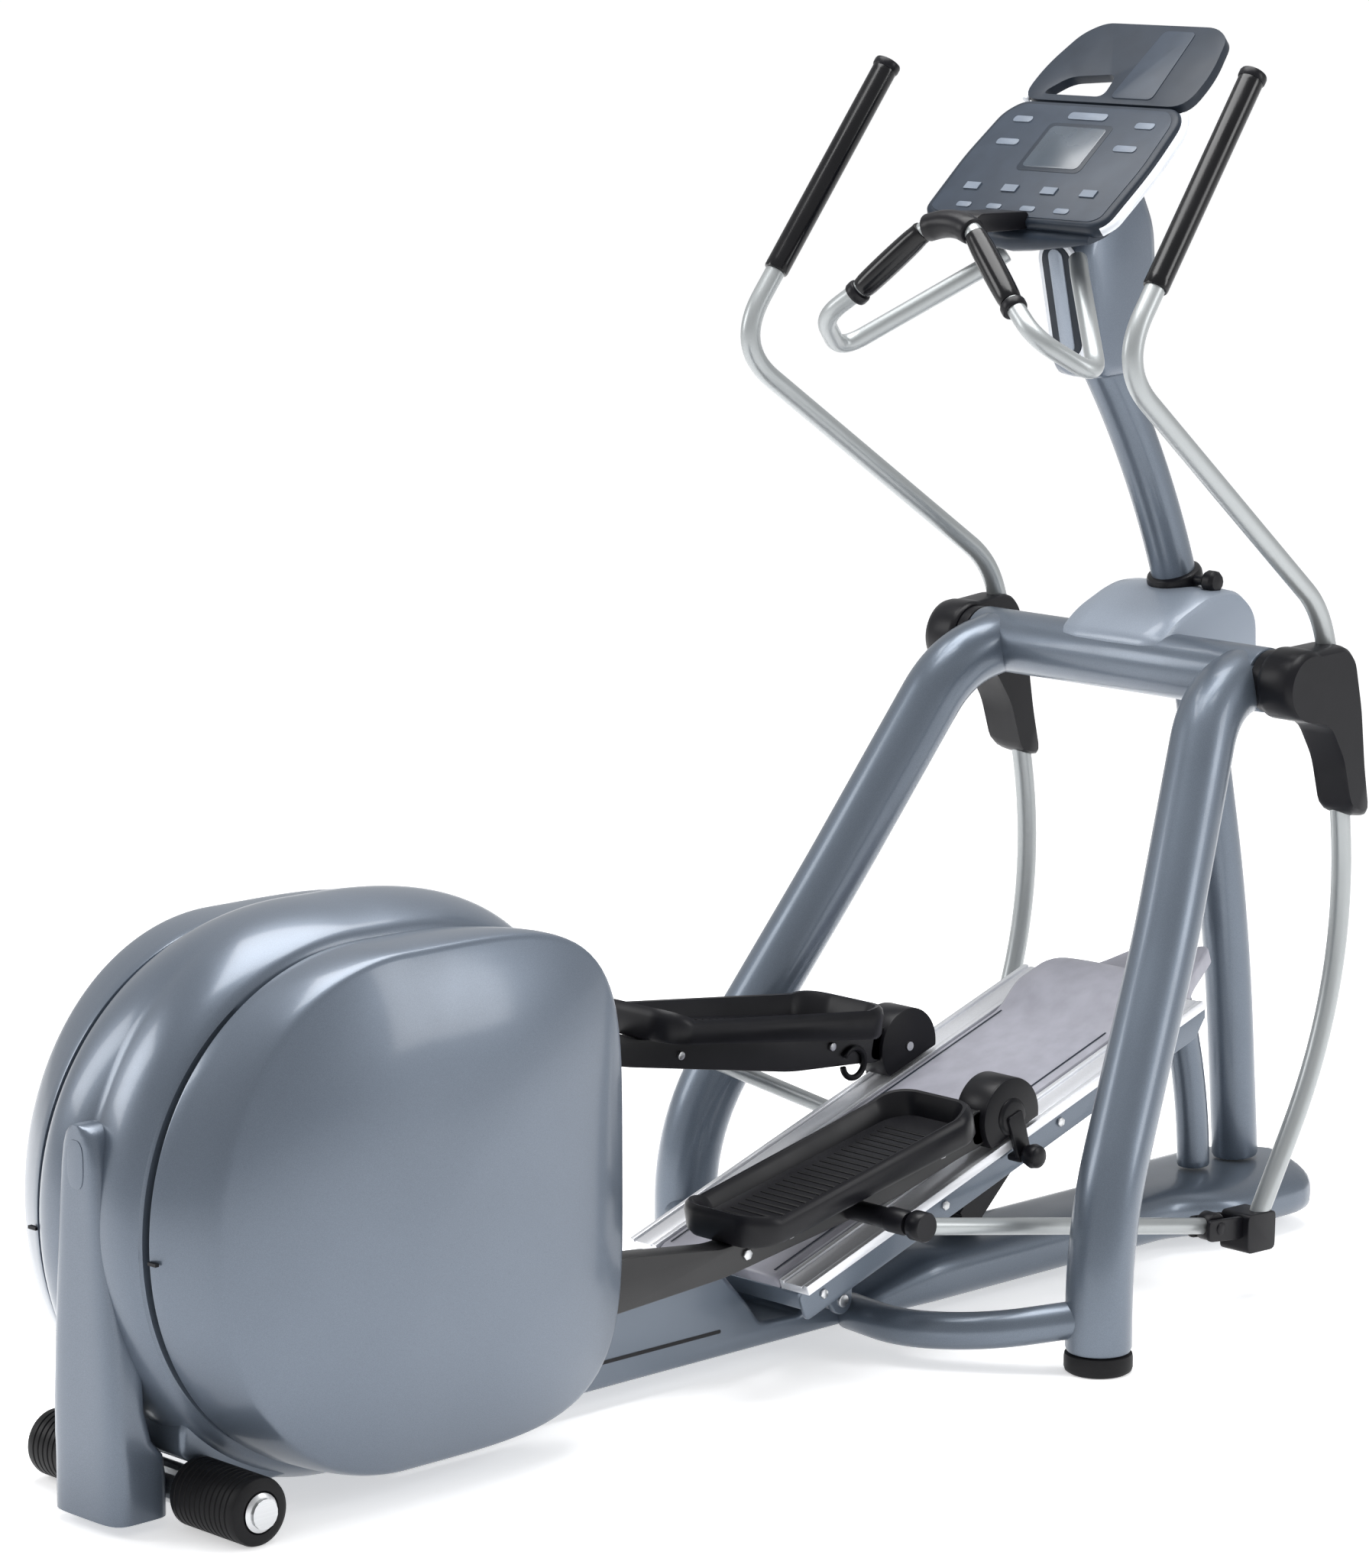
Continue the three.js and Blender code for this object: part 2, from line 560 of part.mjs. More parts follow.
const coverSide = [
  [RAMP_REAR, 80.4], [RAMP_FRONT + 4, 80.4], [RAMP_FRONT + 4, 104],
  [RAMP_FRONT - 18, 119], [RAMP_FRONT - 74, 120],
  [RAMP_FRONT - 110, 104], [RAMP_FRONT - 150, 97], [RAMP_REAR, 97],
];
const TRACK_GAP = 2;
add('ramp_cover', slab(coverSide, -TRACK_INNER + TRACK_GAP, TRACK_INNER - TRACK_GAP), RAMP_GREY, ramp);
for (const [name, side] of SIDES) {
  const track = join(
    block(RAMP_REAR, RAMP_FRONT - 20, TRACK_INNER, TRACK_OUTER, 80.4, RAMP_TOP - 2),
    block(RAMP_REAR, RAMP_FRONT - 20, TRACK_INNER, TRACK_INNER + 8, 86, RAMP_TOP + 2),
    block(RAMP_REAR, RAMP_FRONT - 20, TRACK_OUTER - 8, TRACK_OUTER, 86, RAMP_TOP + 2),
    block(RAMP_REAR, RAMP_FRONT - 20, TRACK_INNER + 11, TRACK_OUTER - 11, 86, RAMP_TOP),
  );
  add(`ramp_track_${name}`, sided(track, side), STEEL, ramp);
}

// Lift motor: a housing hinged on the front beam, and a screw that slides out to the ramp.
const LIFT_BASE = { x: 1180, z: 120 };
const liftTop = v3(lift.s, 0, lift.t).applyAxisAngle(v3(0, 1, 0), -rad(RAMP_ANGLE));
liftTop.add(v3(RAMP_PIVOT.x, 0, RAMP_PIVOT.z));
const liftLength = Math.hypot(liftTop.x - LIFT_BASE.x, liftTop.z - LIFT_BASE.z);
const liftAngle = THREE.MathUtils.radToDeg(Math.atan2(liftTop.z - LIFT_BASE.z, liftTop.x - LIFT_BASE.x));
const liftGroup = groupAt(LIFT_BASE.x, LIFT_BASE.z, -liftAngle);
const SCREW_RADIUS = 9;
const motor = cut(
  join(block(-20, 120, -24, 24, -20, 20), rodY(22, -24, 24, -4, 0, 18), block(20, 110, 20, 84, -20, 20)),
  straight(v3(30, 0, 0), v3(200, 0, 0), SCREW_RADIUS + FIT_GAP, 14),
);
add('lift_motor', motor, BLACK, liftGroup);
const screw = join(
  straight(v3(62, 0, 0), v3(liftLength, 0, 0), SCREW_RADIUS, 14),
  rodY(13, -12, 12, liftLength, 0, 16),
);
add('lift_screw', screw, STEEL, liftGroup);

// ---------------------------------------------------------------- rollers, pedal arms, pedals
const ROLLER_T = RAMP_TOP + ROLLER_RADIUS + FIT_GAP;
const HOOD = { inner: 116.5, outer: 169.5, radius: 54, wall: 4.5 };
const PEDAL = { rear: -530, front: -95, inner: 57, outer: 223, high: 34, floor: 12, rim: 9 };
const pedalTilt = THREE.MathUtils.radToDeg(Math.atan2(33, PEDAL.front - PEDAL.rear));

function pedalArm() {
  const outline = [
    ...arc(-ARM_LENGTH, 0, 27, 90, 270, 7),
    [-760, -46], [-540, -60], [-220, -50], [-80, -30], ...arc(0, 0, 23, 270, 450, 7),
    [-62, 23], [-98, 12], [-534, -21], [-700, 20],
  ];
  return cut(
    join(slab(outline, ARM_INNER, ARM_OUTER), rodY(14, ARM_OUTER - 4, 269, STUB.u, STUB.w, 16)),
    block(-44, 60, ARM_INNER + 4.5, ARM_OUTER - 4.5, -60, 60),
    rodY(ROLLER_AXLE_RADIUS + FIT_GAP, 100, 200, 0, 0, 14),
    rodY(10.5, 100, 200, -ARM_LENGTH, 0, 14),
  );
}

function pedal() {
  const length = PEDAL.front - PEDAL.rear;
  const tray0 = plate(roundedRectangle(0, length, PEDAL.inner, PEDAL.outer, 42), 0, PEDAL.high);
  const well = plate(roundedRectangle(PEDAL.rim, length - PEDAL.rim, PEDAL.inner + PEDAL.rim,
    PEDAL.outer - PEDAL.rim, 34), PEDAL.floor, PEDAL.high + 10);
  return cut(tray0, well).rotateY(-rad(pedalTilt)).translate(PEDAL.rear, 0, -20);
}

// The cover stays level while the ramp tips under it, so its lower edge follows the slope
// with room to spare, and its hook reaches down and under the edge of the track.
function rollerCover() {
  const under = block(-200, 200, 100, 200, -200, -23).rotateY(-rad(RAMP_ANGLE));
  const drum = cut(
    rodY(HOOD.radius, HOOD.inner, HOOD.outer, 0, 0, 28),
    rodY(HOOD.radius - HOOD.wall, HOOD.inner + 3.5, HOOD.outer - 3.5, 0, 0, 24),
    block(-80, -16, HOOD.inner + 3.5, HOOD.outer - 3.5, -60, 44),
    under,
  );
  const hook = join(
    block(-17, 17, HOOD.outer - 2, 181, -24, 6),
    block(-13, 13, 173.5, 181, -62, -20),
    block(-13, 13, 158, 181, -64, -55),
  ).rotateY(-rad(RAMP_ANGLE));
  return cut(join(drum, hook), rodY(ROLLER_AXLE_RADIUS + FIT_GAP, 100, 172, 0, 0, 14));
}

const levelPoint = (s) => {
  const p = v3(s, 0, ROLLER_T).applyAxisAngle(v3(0, 1, 0), -rad(RAMP_ANGLE));
  return { x: RAMP_PIVOT.x + p.x, z: RAMP_PIVOT.z + p.z };
};

const rollerCentre = (side) => levelPoint(ROLLER_MIDDLE + side * STRIDE_OFFSET);

// Climb of a pedal arm from its crank pin to its roller, in radians.
function armSlope(side) {
  const centre = rollerCentre(side);
  const pinX = side * CRANK_RADIUS * Math.sin(rad(CRANK_LEAN));
  const pinZ = AXLE_Z + side * CRANK_RADIUS * Math.cos(rad(CRANK_LEAN));
  return Math.atan2(centre.z - pinZ, centre.x - pinX);
}

for (const [name, side] of SIDES) {
  const centre = rollerCentre(side);
  const level = groupAt(centre.x, centre.z);
  const arm = groupAt(centre.x, centre.z, -THREE.MathUtils.radToDeg(armSlope(side)));
  const roller = cut(
    rodY(ROLLER_RADIUS, 131, 155, 0, 0, 28),
    rodY(ROLLER_AXLE_RADIUS + FIT_GAP, 100, 200, 0, 0, 14),
  );
  const axle = rodY(ROLLER_AXLE_RADIUS, HOOD.inner - 1, HOOD.outer + 1, 0, 0, 14);
  add(`roller_axle_${name}`, sided(axle, side), STEEL, level);
  add(`roller_${name}`, sided(roller, side), BLACK, level);
  add(`roller_cover_${name}`, sided(rollerCover(), side), BLACK, level);
  add(`pedal_arm_${name}`, sided(pedalArm(), side), BLACK, arm);
  add(`pedal_${name}`, sided(pedal(), side), BLACK, arm);
}

// ---------------------------------------------------------------- levers and links
// Lever points are [x, y, z] from the pivot; y is the distance from the centre plane.
const leverPoints = [
  [-28, 302, -752], [152, 303, -430], [94, 307, -30], [54, 308, 100], [-416, 345, 455], [-342, 337, 553],
].map(([x, y, z]) => v3(x, y, z));
const GRIP = { from: v3(-342, 337, 553), to: v3(-136, 316, 826), radius: 17.5 };
const HUB = { inner: 268, outer: 345, radius: 50, plateInner: 285 };
const shroudOutline = [
  ...arc(0, 0, HUB.radius, 75, 262, 10), [42, -58], [84, -112], [108, -184], [146, -196], [128, -128],
  [112, -40], [98, 34], [80, 52],
];

const LEVER_CUTS = [230, 70, 46, 84];
const LINK_Y = 285.5;
const GRIP_GAP = 0.5;

function lever() {
  const rod = tube(leverPoints, LEVER_CUTS, LEVER_TUBE, 46, 10);
  const clevis = cut(
    block(LINK_PIVOT.x - 24, -4, 264, 318, -788, -736),
    block(LINK_PIVOT.x - 40, LINK_PIVOT.x + 42, 270.5, 300.5, -800, -700),
    block(LINK_PIVOT.x - 60, LINK_PIVOT.x + 42, 307, 330, -800, -700),
  );
  const pin = rodY(7, 266, 305, LINK_PIVOT.x, LINK_PIVOT.z, 14);
  return join(rod, clevis, pin);
}

function leverShroud() {
  const hub = rodY(44, HUB.inner, HUB.plateInner + 1, 0, 0, 24);
  return cut(
    join(slab(shroudOutline, HUB.plateInner, HUB.outer), hub),
    tube(leverPoints, LEVER_CUTS, LEVER_TUBE + FIT_GAP, 46, 10),
    rodY(STUB_SHAFT + FIT_GAP, 200, 339, 0, 0, 16),
  );
}

function leverGrip() {
  const along = GRIP.to.clone().sub(GRIP.from).normalize();
  return straight(GRIP.from.clone().addScaledVector(along, GRIP_GAP), GRIP.to, GRIP.radius, 16);
}

// The link runs back from its own front eye, along X.
function link() {
  return cut(
    join(
      straight(v3(-LINK_LENGTH + 8, LINK_Y, 0), v3(-8, LINK_Y, 0), 11.5, 12),
      rodY(20, 274, 297, 0, 0, 20),
      rodY(20, 274, 297, -LINK_LENGTH, 0, 20),
    ),
    rodY(7 + FIT_GAP, 200, 400, 0, 0, 14),
    rodY(9, 200, 400, -LINK_LENGTH, 0, 14),
  );
}

// Group at a link's front eye, climbing so that its rear eye meets the stub on the pedal arm.
function linkGroup(side) {
  const axis = v3(0, 1, 0);
  const leverTurn = rad(-side * LEVER_SWING);
  const front = v3(LINK_PIVOT.x, 0, LINK_PIVOT.z)
    .applyAxisAngle(axis, leverTurn)
    .add(v3(LEVER_PIVOT.x, 0, LEVER_PIVOT.z));
  const centre = rollerCentre(side);
  const stub = v3(STUB.u, 0, STUB.w)
    .applyAxisAngle(axis, -armSlope(side))
    .add(v3(centre.x, 0, centre.z));
  const climb = THREE.MathUtils.radToDeg(Math.atan2(front.z - stub.z, front.x - stub.x));
  return groupAt(front.x, front.z, -climb);
}

for (const [name, side] of SIDES) {
  const group = groupAt(LEVER_PIVOT.x, LEVER_PIVOT.z, -side * LEVER_SWING);
  add(`lever_${name}`, sided(lever(), side), SILVER, group);
  add(`lever_shroud_${name}`, sided(leverShroud(), side), BLACK, group);
  add(`lever_grip_${name}`, sided(leverGrip(), side), RUBBER, group);
  add(`link_${name}`, sided(link(), side), SILVER, linkGroup(side));
}

export default trainer;
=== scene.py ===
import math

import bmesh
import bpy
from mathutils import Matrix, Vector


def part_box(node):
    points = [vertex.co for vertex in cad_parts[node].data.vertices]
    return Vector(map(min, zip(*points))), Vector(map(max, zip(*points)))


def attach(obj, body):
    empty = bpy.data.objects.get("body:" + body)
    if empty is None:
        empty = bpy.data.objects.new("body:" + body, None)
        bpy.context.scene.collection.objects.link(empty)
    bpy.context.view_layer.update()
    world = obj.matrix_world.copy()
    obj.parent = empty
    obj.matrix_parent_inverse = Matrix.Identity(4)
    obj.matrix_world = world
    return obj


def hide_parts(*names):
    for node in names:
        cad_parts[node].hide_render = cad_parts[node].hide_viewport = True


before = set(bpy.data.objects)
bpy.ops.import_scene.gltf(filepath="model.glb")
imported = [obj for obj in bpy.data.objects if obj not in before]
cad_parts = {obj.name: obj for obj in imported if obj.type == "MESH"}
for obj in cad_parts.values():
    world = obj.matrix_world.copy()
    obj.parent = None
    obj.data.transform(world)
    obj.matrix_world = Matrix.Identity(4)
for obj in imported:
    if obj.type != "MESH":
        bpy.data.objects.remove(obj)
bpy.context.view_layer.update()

# Elliptical trainer: the looks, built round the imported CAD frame.
#
# Lengths are millimetres measured from the floor under the drive axle, as on a drawing: X forward, Y to
# the user's left, Z up. emit() turns them into metres, and MACHINE moves them into the row's frame.
# A piece that exists on both sides is drawn on the left and mirrored.

axle_low, axle_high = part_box("drive_axle")
AXLE_X = (axle_low[0] + axle_high[0]) / 2
MACHINE = Matrix.Translation((AXLE_X, 0, 0))
SIDES = (("left", 1), ("right", -1))

# ------------------------------------------------------------------ driving dimensions
AXLE_Z = 363
SHROUD_RADIUS = 326
SHROUD_CROWN = 36
SHROUD_HALF = 98
COVER_INNER, COVER_CREASE = 108, 190
WINDOW_REAR, WINDOW_OUTER, WINDOW_LOW, WINDOW_HIGH = 190, 169, 96, 655
REAR_END = -356
TRANSPORT_ROLLER, TRANSPORT_RADIUS = (-245, 43), 43
SPINE_HALF = 76
BEAM_REAR, BEAM_FULL, BEAM_FLARE, BEAM_NOSE, BEAM_FRONT = 930, 1060, 1530, 1750, 1838
LEG_FOOT, LEG_RADIUS, FORK_RADIUS = (1027, 395), 44.5, 25
CROSSBAR_HALF, CROSSBAR_RADIUS = 266, 45
POST_RADIUS, GUIDE_TUBE_RADIUS, MAST_RADIUS = 33.5, 23.5, 31.5
RAMP_PIVOT = (835, 75)
RAMP_ANGLE = 18.6
RAMP_REAR, RAMP_FRONT = -104, 739
TRAY_HALF, TRAY_LOW, TRAY_TOP, DECK = 150, 52, 80, 80.4
RAMP_COVER_HALF = 114.5
ROLLER_MIDDLE, STRIDE_OFFSET, ROLLER_T = 369, 52.7, 124.4
CRANK_RADIUS, CRANK_LEAN, ARM_LENGTH = 220, 15.8, 1163
ARM_INNER, ARM_OUTER = 124, 162
HOOD_RADIUS = 54
PEDAL_REAR, PEDAL_FRONT, PEDAL_INNER, PEDAL_OUTER = -530, -95, 57, 223
LEVER_PIVOT = (1500, 857)
LEVER_SWING = 1.53
LINK_PIVOT = (-105, -748)
STUB = (-306, -38)
LINK_LENGTH, LINK_RADIUS, LINK_Y = 585, 11.5, 285.5
LEVER_RADIUS, GRIP_RADIUS, BAR_RADIUS = 14, 17.5, 13
PANEL_CORNER, PANEL_ANGLE, PANEL_LENGTH = (1252, 1484), 39.5, 238
GUIDE_RADIUS = 833

WELD = 0.01
BEVEL_ANGLE, SHARP_ANGLE = math.radians(32), math.radians(40)
END_ROUNDING = 0.18
AXIS_GAP = 0.02


def tilted(angle, x, z):
    """Frame at (x, z) whose X axis climbs at this angle."""
    place = Matrix.Translation((x / 1000, 0, z / 1000))
    return MACHINE @ place @ Matrix.Rotation(-math.radians(angle), 4, "Y")


RAMP = tilted(RAMP_ANGLE, *RAMP_PIVOT)
PANEL = tilted(PANEL_ANGLE, *PANEL_CORNER)


def turned(point, centre, degrees):
    """Machine X and Z of a point given in a frame that is turned about its centre."""
    a = math.radians(degrees)
    (px, pz), (cx, cz) = point, centre
    return cx + px * math.cos(a) - pz * math.sin(a), cz + px * math.sin(a) + pz * math.cos(a)


def roller_centre(side):
    """Machine X and Z of a roller's axle: at rest the left one is further up the ramp."""
    return turned((ROLLER_MIDDLE + side * STRIDE_OFFSET, ROLLER_T), RAMP_PIVOT, RAMP_ANGLE)


def arm_slope(side):
    """Angle of a pedal arm at rest, in degrees, from its crank pin up to its roller."""
    lean = math.radians(CRANK_LEAN)
    pin_x = side * CRANK_RADIUS * math.sin(lean)
    pin_z = AXLE_Z + side * CRANK_RADIUS * math.cos(lean)
    x, z = roller_centre(side)
    return math.degrees(math.atan2(z - pin_z, x - pin_x))


# ------------------------------------------------------------------ materials
def shader(name, color, rough, metal=0.0, coat=0.0, specular=0.5):
    material = bpy.data.materials.new(name)
    material.use_nodes = True
    tree = material.node_tree
    bsdf = tree.nodes["Principled BSDF"]
    bsdf.inputs["Base Color"].default_value = (*color, 1)
    bsdf.inputs["Roughness"].default_value = rough
    bsdf.inputs["Metallic"].default_value = metal
    bsdf.inputs["Coat Weight"].default_value = coat
    bsdf.inputs["Coat Roughness"].default_value = 0.12
    bsdf.inputs["Specular IOR Level"].default_value = specular
    return material, tree, bsdf


def noise(tree, scale, detail=2.0, stretch=None):
    coordinates = tree.nodes.new("ShaderNodeTexCoord")
    texture = tree.nodes.new("ShaderNodeTexNoise")
    texture.inputs["Scale"].default_value = scale
    texture.inputs["Detail"].default_value = detail
    source = coordinates.outputs["Object"]
    if stretch:
        mapping = tree.nodes.new("ShaderNodeMapping")
        mapping.inputs["Scale"].default_value = stretch
        tree.links.new(source, mapping.inputs["Vector"])
        source = mapping.outputs["Vector"]
    tree.links.new(source, texture.inputs["Vector"])
    return texture.outputs["Fac"]


def vary_color(tree, bsdf, fac, low, high, start=0.35, end=0.65):
    ramp = tree.nodes.new("ShaderNodeValToRGB")
    ramp.color_ramp.elements[0].position = start
    ramp.color_ramp.elements[0].color = (*low, 1)
    ramp.color_ramp.elements[1].position = end
    ramp.color_ramp.elements[1].color = (*high, 1)
    tree.links.new(fac, ramp.inputs["Fac"])
    tree.links.new(ramp.outputs["Color"], bsdf.inputs["Base Color"])


def vary_roughness(tree, bsdf, fac, low, high):
    spread = tree.nodes.new("ShaderNodeMapRange")
    spread.inputs["From Min"].default_value = 0.3
    spread.inputs["From Max"].default_value = 0.7
    spread.inputs["To Min"].default_value = low
    spread.inputs["To Max"].default_value = high
    tree.links.new(fac, spread.inputs["Value"])
    tree.links.new(spread.outputs["Result"], bsdf.inputs["Roughness"])


def bump(tree, bsdf, fac, strength, distance=0.0005):
    node = tree.nodes.new("ShaderNodeBump")
    node.inputs["Strength"].default_value = strength
    node.inputs["Distance"].default_value = distance
    tree.links.new(fac, node.inputs["Height"])
    tree.links.new(node.outputs["Normal"], bsdf.inputs["Normal"])


def scaled(color, k):
    return tuple(min(1.0, c * k) for c in color)


def paint(name, color, rough=0.36, metal=0.55, coat=0.35, flake=0.12):
    """Metallic paint: fine flakes, a slow drift of gloss and a faint orange peel."""
    material, tree, bsdf = shader(name, color, rough, metal, coat)
    vary_color(tree, bsdf, noise(tree, 1500, 1), scaled(color, 1 - flake), scaled(color, 1 + flake))
    vary_roughness(tree, bsdf, noise(tree, 6, 3), rough - 0.05, rough + 0.06)
    bump(tree, bsdf, noise(tree, 260, 2), flake / 2)
    return material


def moulded(name, color, rough=0.5, grain=900, depth=0.25, coat=0.0, specular=0.5):
    """Moulded plastic with a spark-eroded grain."""
    material, tree, bsdf = shader(name, color, rough, 0.0, coat, specular)
    vary_color(tree, bsdf, noise(tree, 30, 3), scaled(color, 0.93), scaled(color, 1.08))
    vary_roughness(tree, bsdf, noise(tree, 9, 3), rough - 0.06, rough + 0.08)
    bump(tree, bsdf, noise(tree, grain, 2), depth, 0.0003)
    return material


def brushed(name, color, rough=0.28, along=(4, 900, 900), metal=1.0):
    """Drawn or brushed metal, streaked along one axis."""
    material, tree, bsdf = shader(name, color, rough, metal)
    streaks = noise(tree, 1.0, 3, along)
    vary_color(tree, bsdf, streaks, scaled(color, 0.96), scaled(color, 1.04))
    vary_roughness(tree, bsdf, streaks, rough - 0.03, rough + 0.05)
    bump(tree, bsdf, streaks, 0.02, 0.0001)
    return material


PAINT = paint("metallic_blue_grey", (0.125, 0.152, 0.19))
HOUSING = paint("housing_blue_grey", (0.118, 0.145, 0.185), rough=0.34, metal=0.45, coat=0.4)
SILVER = paint("silver_lacquer", (0.36, 0.38, 0.385), rough=0.36, metal=0.6, flake=0.03)
SADDLE = paint("pale_paint", (0.25, 0.29, 0.35), rough=0.4, metal=0.3)
LIGHT = moulded("light_trim", (0.7, 0.73, 0.78), rough=0.35, depth=0.1, coat=0.4)
RAMP_GREY = moulded("ramp_plastic", (0.34, 0.34, 0.39), rough=0.4, grain=700, depth=0.12)
TRACK = brushed("bright_track", (0.8, 0.81, 0.84), rough=0.36, metal=0.6)
STEEL = brushed("machined_steel", (0.58, 0.59, 0.6), rough=0.3)
IRON = brushed("dark_iron", (0.12, 0.12, 0.125), rough=0.5, along=(300, 300, 300))
BLACK = moulded("black_plastic", (0.006, 0.006, 0.008), rough=0.34, depth=0.1, specular=0.22)
BLACK_PAINT = paint("black_paint", (0.005, 0.005, 0.006), rough=0.4, metal=0.0, coat=0.0)
RUBBER = moulded("rubber", (0.006, 0.006, 0.007), rough=0.5, grain=1400, depth=0.2, specular=0.2)
GRIP = moulded("grip_foam", (0.003, 0.003, 0.004), rough=0.2, grain=1100, depth=0.08, specular=0.35)
SLATE = moulded("console_slate", (0.014, 0.02, 0.03), rough=0.42, depth=0.08, coat=0.04, specular=0.2)
SLATE_LIGHT = moulded("console_band", (0.025, 0.034, 0.049), rough=0.4, depth=0.08, coat=0.04,
                      specular=0.2)
KEY = moulded("key_cap", (0.105, 0.13, 0.168), rough=0.42, depth=0.05)
SCREEN = moulded("display_window", (0.035, 0.048, 0.064), rough=0.25, grain=60, depth=0.02, coat=0.2)


# ------------------------------------------------------------------ mesh building
def emit(name, bm, body, material, place=MACHINE, bevel=0.0, segments=3, stands_for=()):
    """Finishes a mesh drawn in millimetres, puts it in place and lets it ride on its body."""
    bmesh.ops.remove_doubles(bm, verts=bm.verts, dist=WELD)
    bmesh.ops.recalc_face_normals(bm, faces=bm.faces)
    if bevel:
        bmesh.ops.bevel(bm, geom=folds(bm, BEVEL_ANGLE), offset=bevel, segments=segments, profile=0.5,
                        affect="EDGES", clamp_overlap=True)
        bmesh.ops.remove_doubles(bm, verts=bm.verts, dist=WELD)
    for face in bm.faces:
        face.smooth = True
    for edge in folds(bm, SHARP_ANGLE):
        edge.smooth = False
    bm.transform(place @ Matrix.Scale(0.001, 4))
    mesh = bpy.data.meshes.new(name)
    bm.to_mesh(mesh)
    bm.free()
    mesh.materials.append(material)
    piece = bpy.data.objects.new(name, mesh)
    bpy.context.scene.collection.objects.link(piece)
    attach(piece, body)
    if stands_for:
        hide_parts(*stands_for)
    return piece


def folds(bm, angle):
    """Edges whose two faces meet at more than this angle."""
    return [e for e in bm.edges if len(e.link_faces) == 2 and e.calc_face_angle() > angle]


def mirrored(bm, side):
    """The mesh as it is for the left side, and mirrored for the right."""
    if side < 0:
        bm.transform(Matrix.Scale(-1, 4, (0, 1, 0)))
    return bm


def skin(rings):
    """Faces between rings of points, each ring a closed loop, with both ends filled."""
    bm = bmesh.new()
    loops = [[bm.verts.new(p) for p in ring] for ring in rings]
    for a, b in zip(loops, loops[1:]):
        n = len(a)
        for i in range(n):
            bm.faces.new((a[i], a[(i + 1) % n], b[(i + 1) % n], b[i]))
    bm.faces.new(loops[0])
    bm.faces.new(loops[-1])
    return bm


def merge(*meshes):
    """Several meshes in the first one."""
    target = meshes[0]
    for other in meshes[1:]:
        mesh = bpy.data.meshes.new("part")
        other.to_mesh(mesh)
        other.free()
        target.from_mesh(mesh)
        bpy.data.meshes.remove(mesh)
    return target


def bent(points, cuts, steps=12):
    """Straight runs whose corners are rounded off over the given distances."""
    points = [Vector(p) for p in points]
    path = [points[0]]
    for corner, before, after, reach in zip(points[1:-1], points, points[2:], cuts):
        a = corner + (before - corner).normalized() * reach
        b = corner + (after - corner).normalized() * reach
        for i in range(steps + 1):
            t = i / steps
            path.append(a.lerp(corner, t).lerp(corner.lerp(b, t), t))
    path.append(points[-1])
    return path


def circle(count):
    """Angles of a full turn in equal steps."""
    return [2 * math.pi * k / count for k in range(count)]


def sweep(path, radius, sides=24):
    """A tube with rounded ends along a path; radius may be a function of the share of the way along."""
    rings = []
    tangent = (path[1] - path[0]).normalized()
    up = Vector((0, 0, 1)) if abs(tangent.z) < 0.9 else Vector((1, 0, 0))
    side = tangent.cross(up).normalized()
    size = radius if callable(radius) else (lambda share: radius)
    edge = min(size(0), size(1)) * END_ROUNDING
    head, tail = path[0], path[-1]
    step = (path[1] - head).normalized() * edge
    back = (path[-2] - tail).normalized() * edge
    middle = [(p, i / (len(path) - 1), 1.0) for i, p in enumerate(path)][1:-1]
    stations = [(head, 0, 0.82), (head + step * 0.3, 0, 0.95), (head + step, 0, 1), *middle,
                (tail + back, 1, 1), (tail + back * 0.3, 1, 0.95), (tail, 1, 0.82)]
    for i, (point, share, trim) in enumerate(stations):
        ahead = stations[min(i + 1, len(stations) - 1)][0] - stations[max(i - 1, 0)][0]
        tangent = ahead.normalized()
        side = (side - tangent * side.dot(tangent)).normalized()
        other = tangent.cross(side)
        r = size(share) * trim
        rings.append([point + side * (r * math.cos(a)) + other * (r * math.sin(a)) for a in circle(sides)])
    return skin(rings)


def lathe(profile, x=0, z=0, segments=48, shape=None):
    """Turns (radius, y) points about an axis along Y; shape(angle, y) scales each radius."""
    rings = []
    for r, y in profile:
        ring = []
        for a in circle(segments):
            reach = max(r, AXIS_GAP) * (shape(a, y) if shape else 1)
            ring.append((x + reach * math.cos(a), y, z + reach * math.sin(a)))
        rings.append(ring)
    return skin(rings)


def slab(outline, y0, y1):
    """An outline in X and Z, as thick as from y0 to y1."""
    return skin([[(x, y0, z) for x, z in outline], [(x, y1, z) for x, z in outline]])


def sheet(outline, z0, z1):
    """An outline in X and Y, as thick as from z0 to z1."""
    return skin([[(x, y, z0) for x, y in outline], [(x, y, z1) for x, y in outline]])


def block(x0, x1, y0, y1, z0, z1):
    return slab([(x0, z0), (x1, z0), (x1, z1), (x0, z1)], y0, y1)


def arc(cx, cz, radius, start, end, count=10):
    """Points on an arc between two angles in degrees."""
    points = []
    for i in range(count + 1):
        a = math.radians(start + (end - start) * i / count)
        points.append((cx + radius * math.cos(a), cz + radius * math.sin(a)))
    return points


def softened(outline, reach, steps=5):
    """A closed outline with its corners rounded off."""
    points = [Vector(p) for p in outline]
    path = []
    for i, corner in enumerate(points):
        before, after = points[i - 1], points[(i + 1) % len(points)]
        cut = min(reach, (before - corner).length * 0.45, (after - corner).length * 0.45)
        a = corner + (before - corner).normalized() * cut
        b = corner + (after - corner).normalized() * cut
        for k in range(steps + 1):
            t = k / steps
            path.append(tuple(a.lerp(corner, t).lerp(corner.lerp(b, t), t)))
    return path


def rounded_box(x0, x1, y0, y1, r, count=6):
    """Outline of a rectangle with round corners."""
    return (arc(x1 - r, y0 + r, r, -90, 0, count) + arc(x1 - r, y1 - r, r, 0, 90, count)
            + arc(x0 + r, y1 - r, r, 90, 180, count) + arc(x0 + r, y0 + r, r, 180, 270, count))


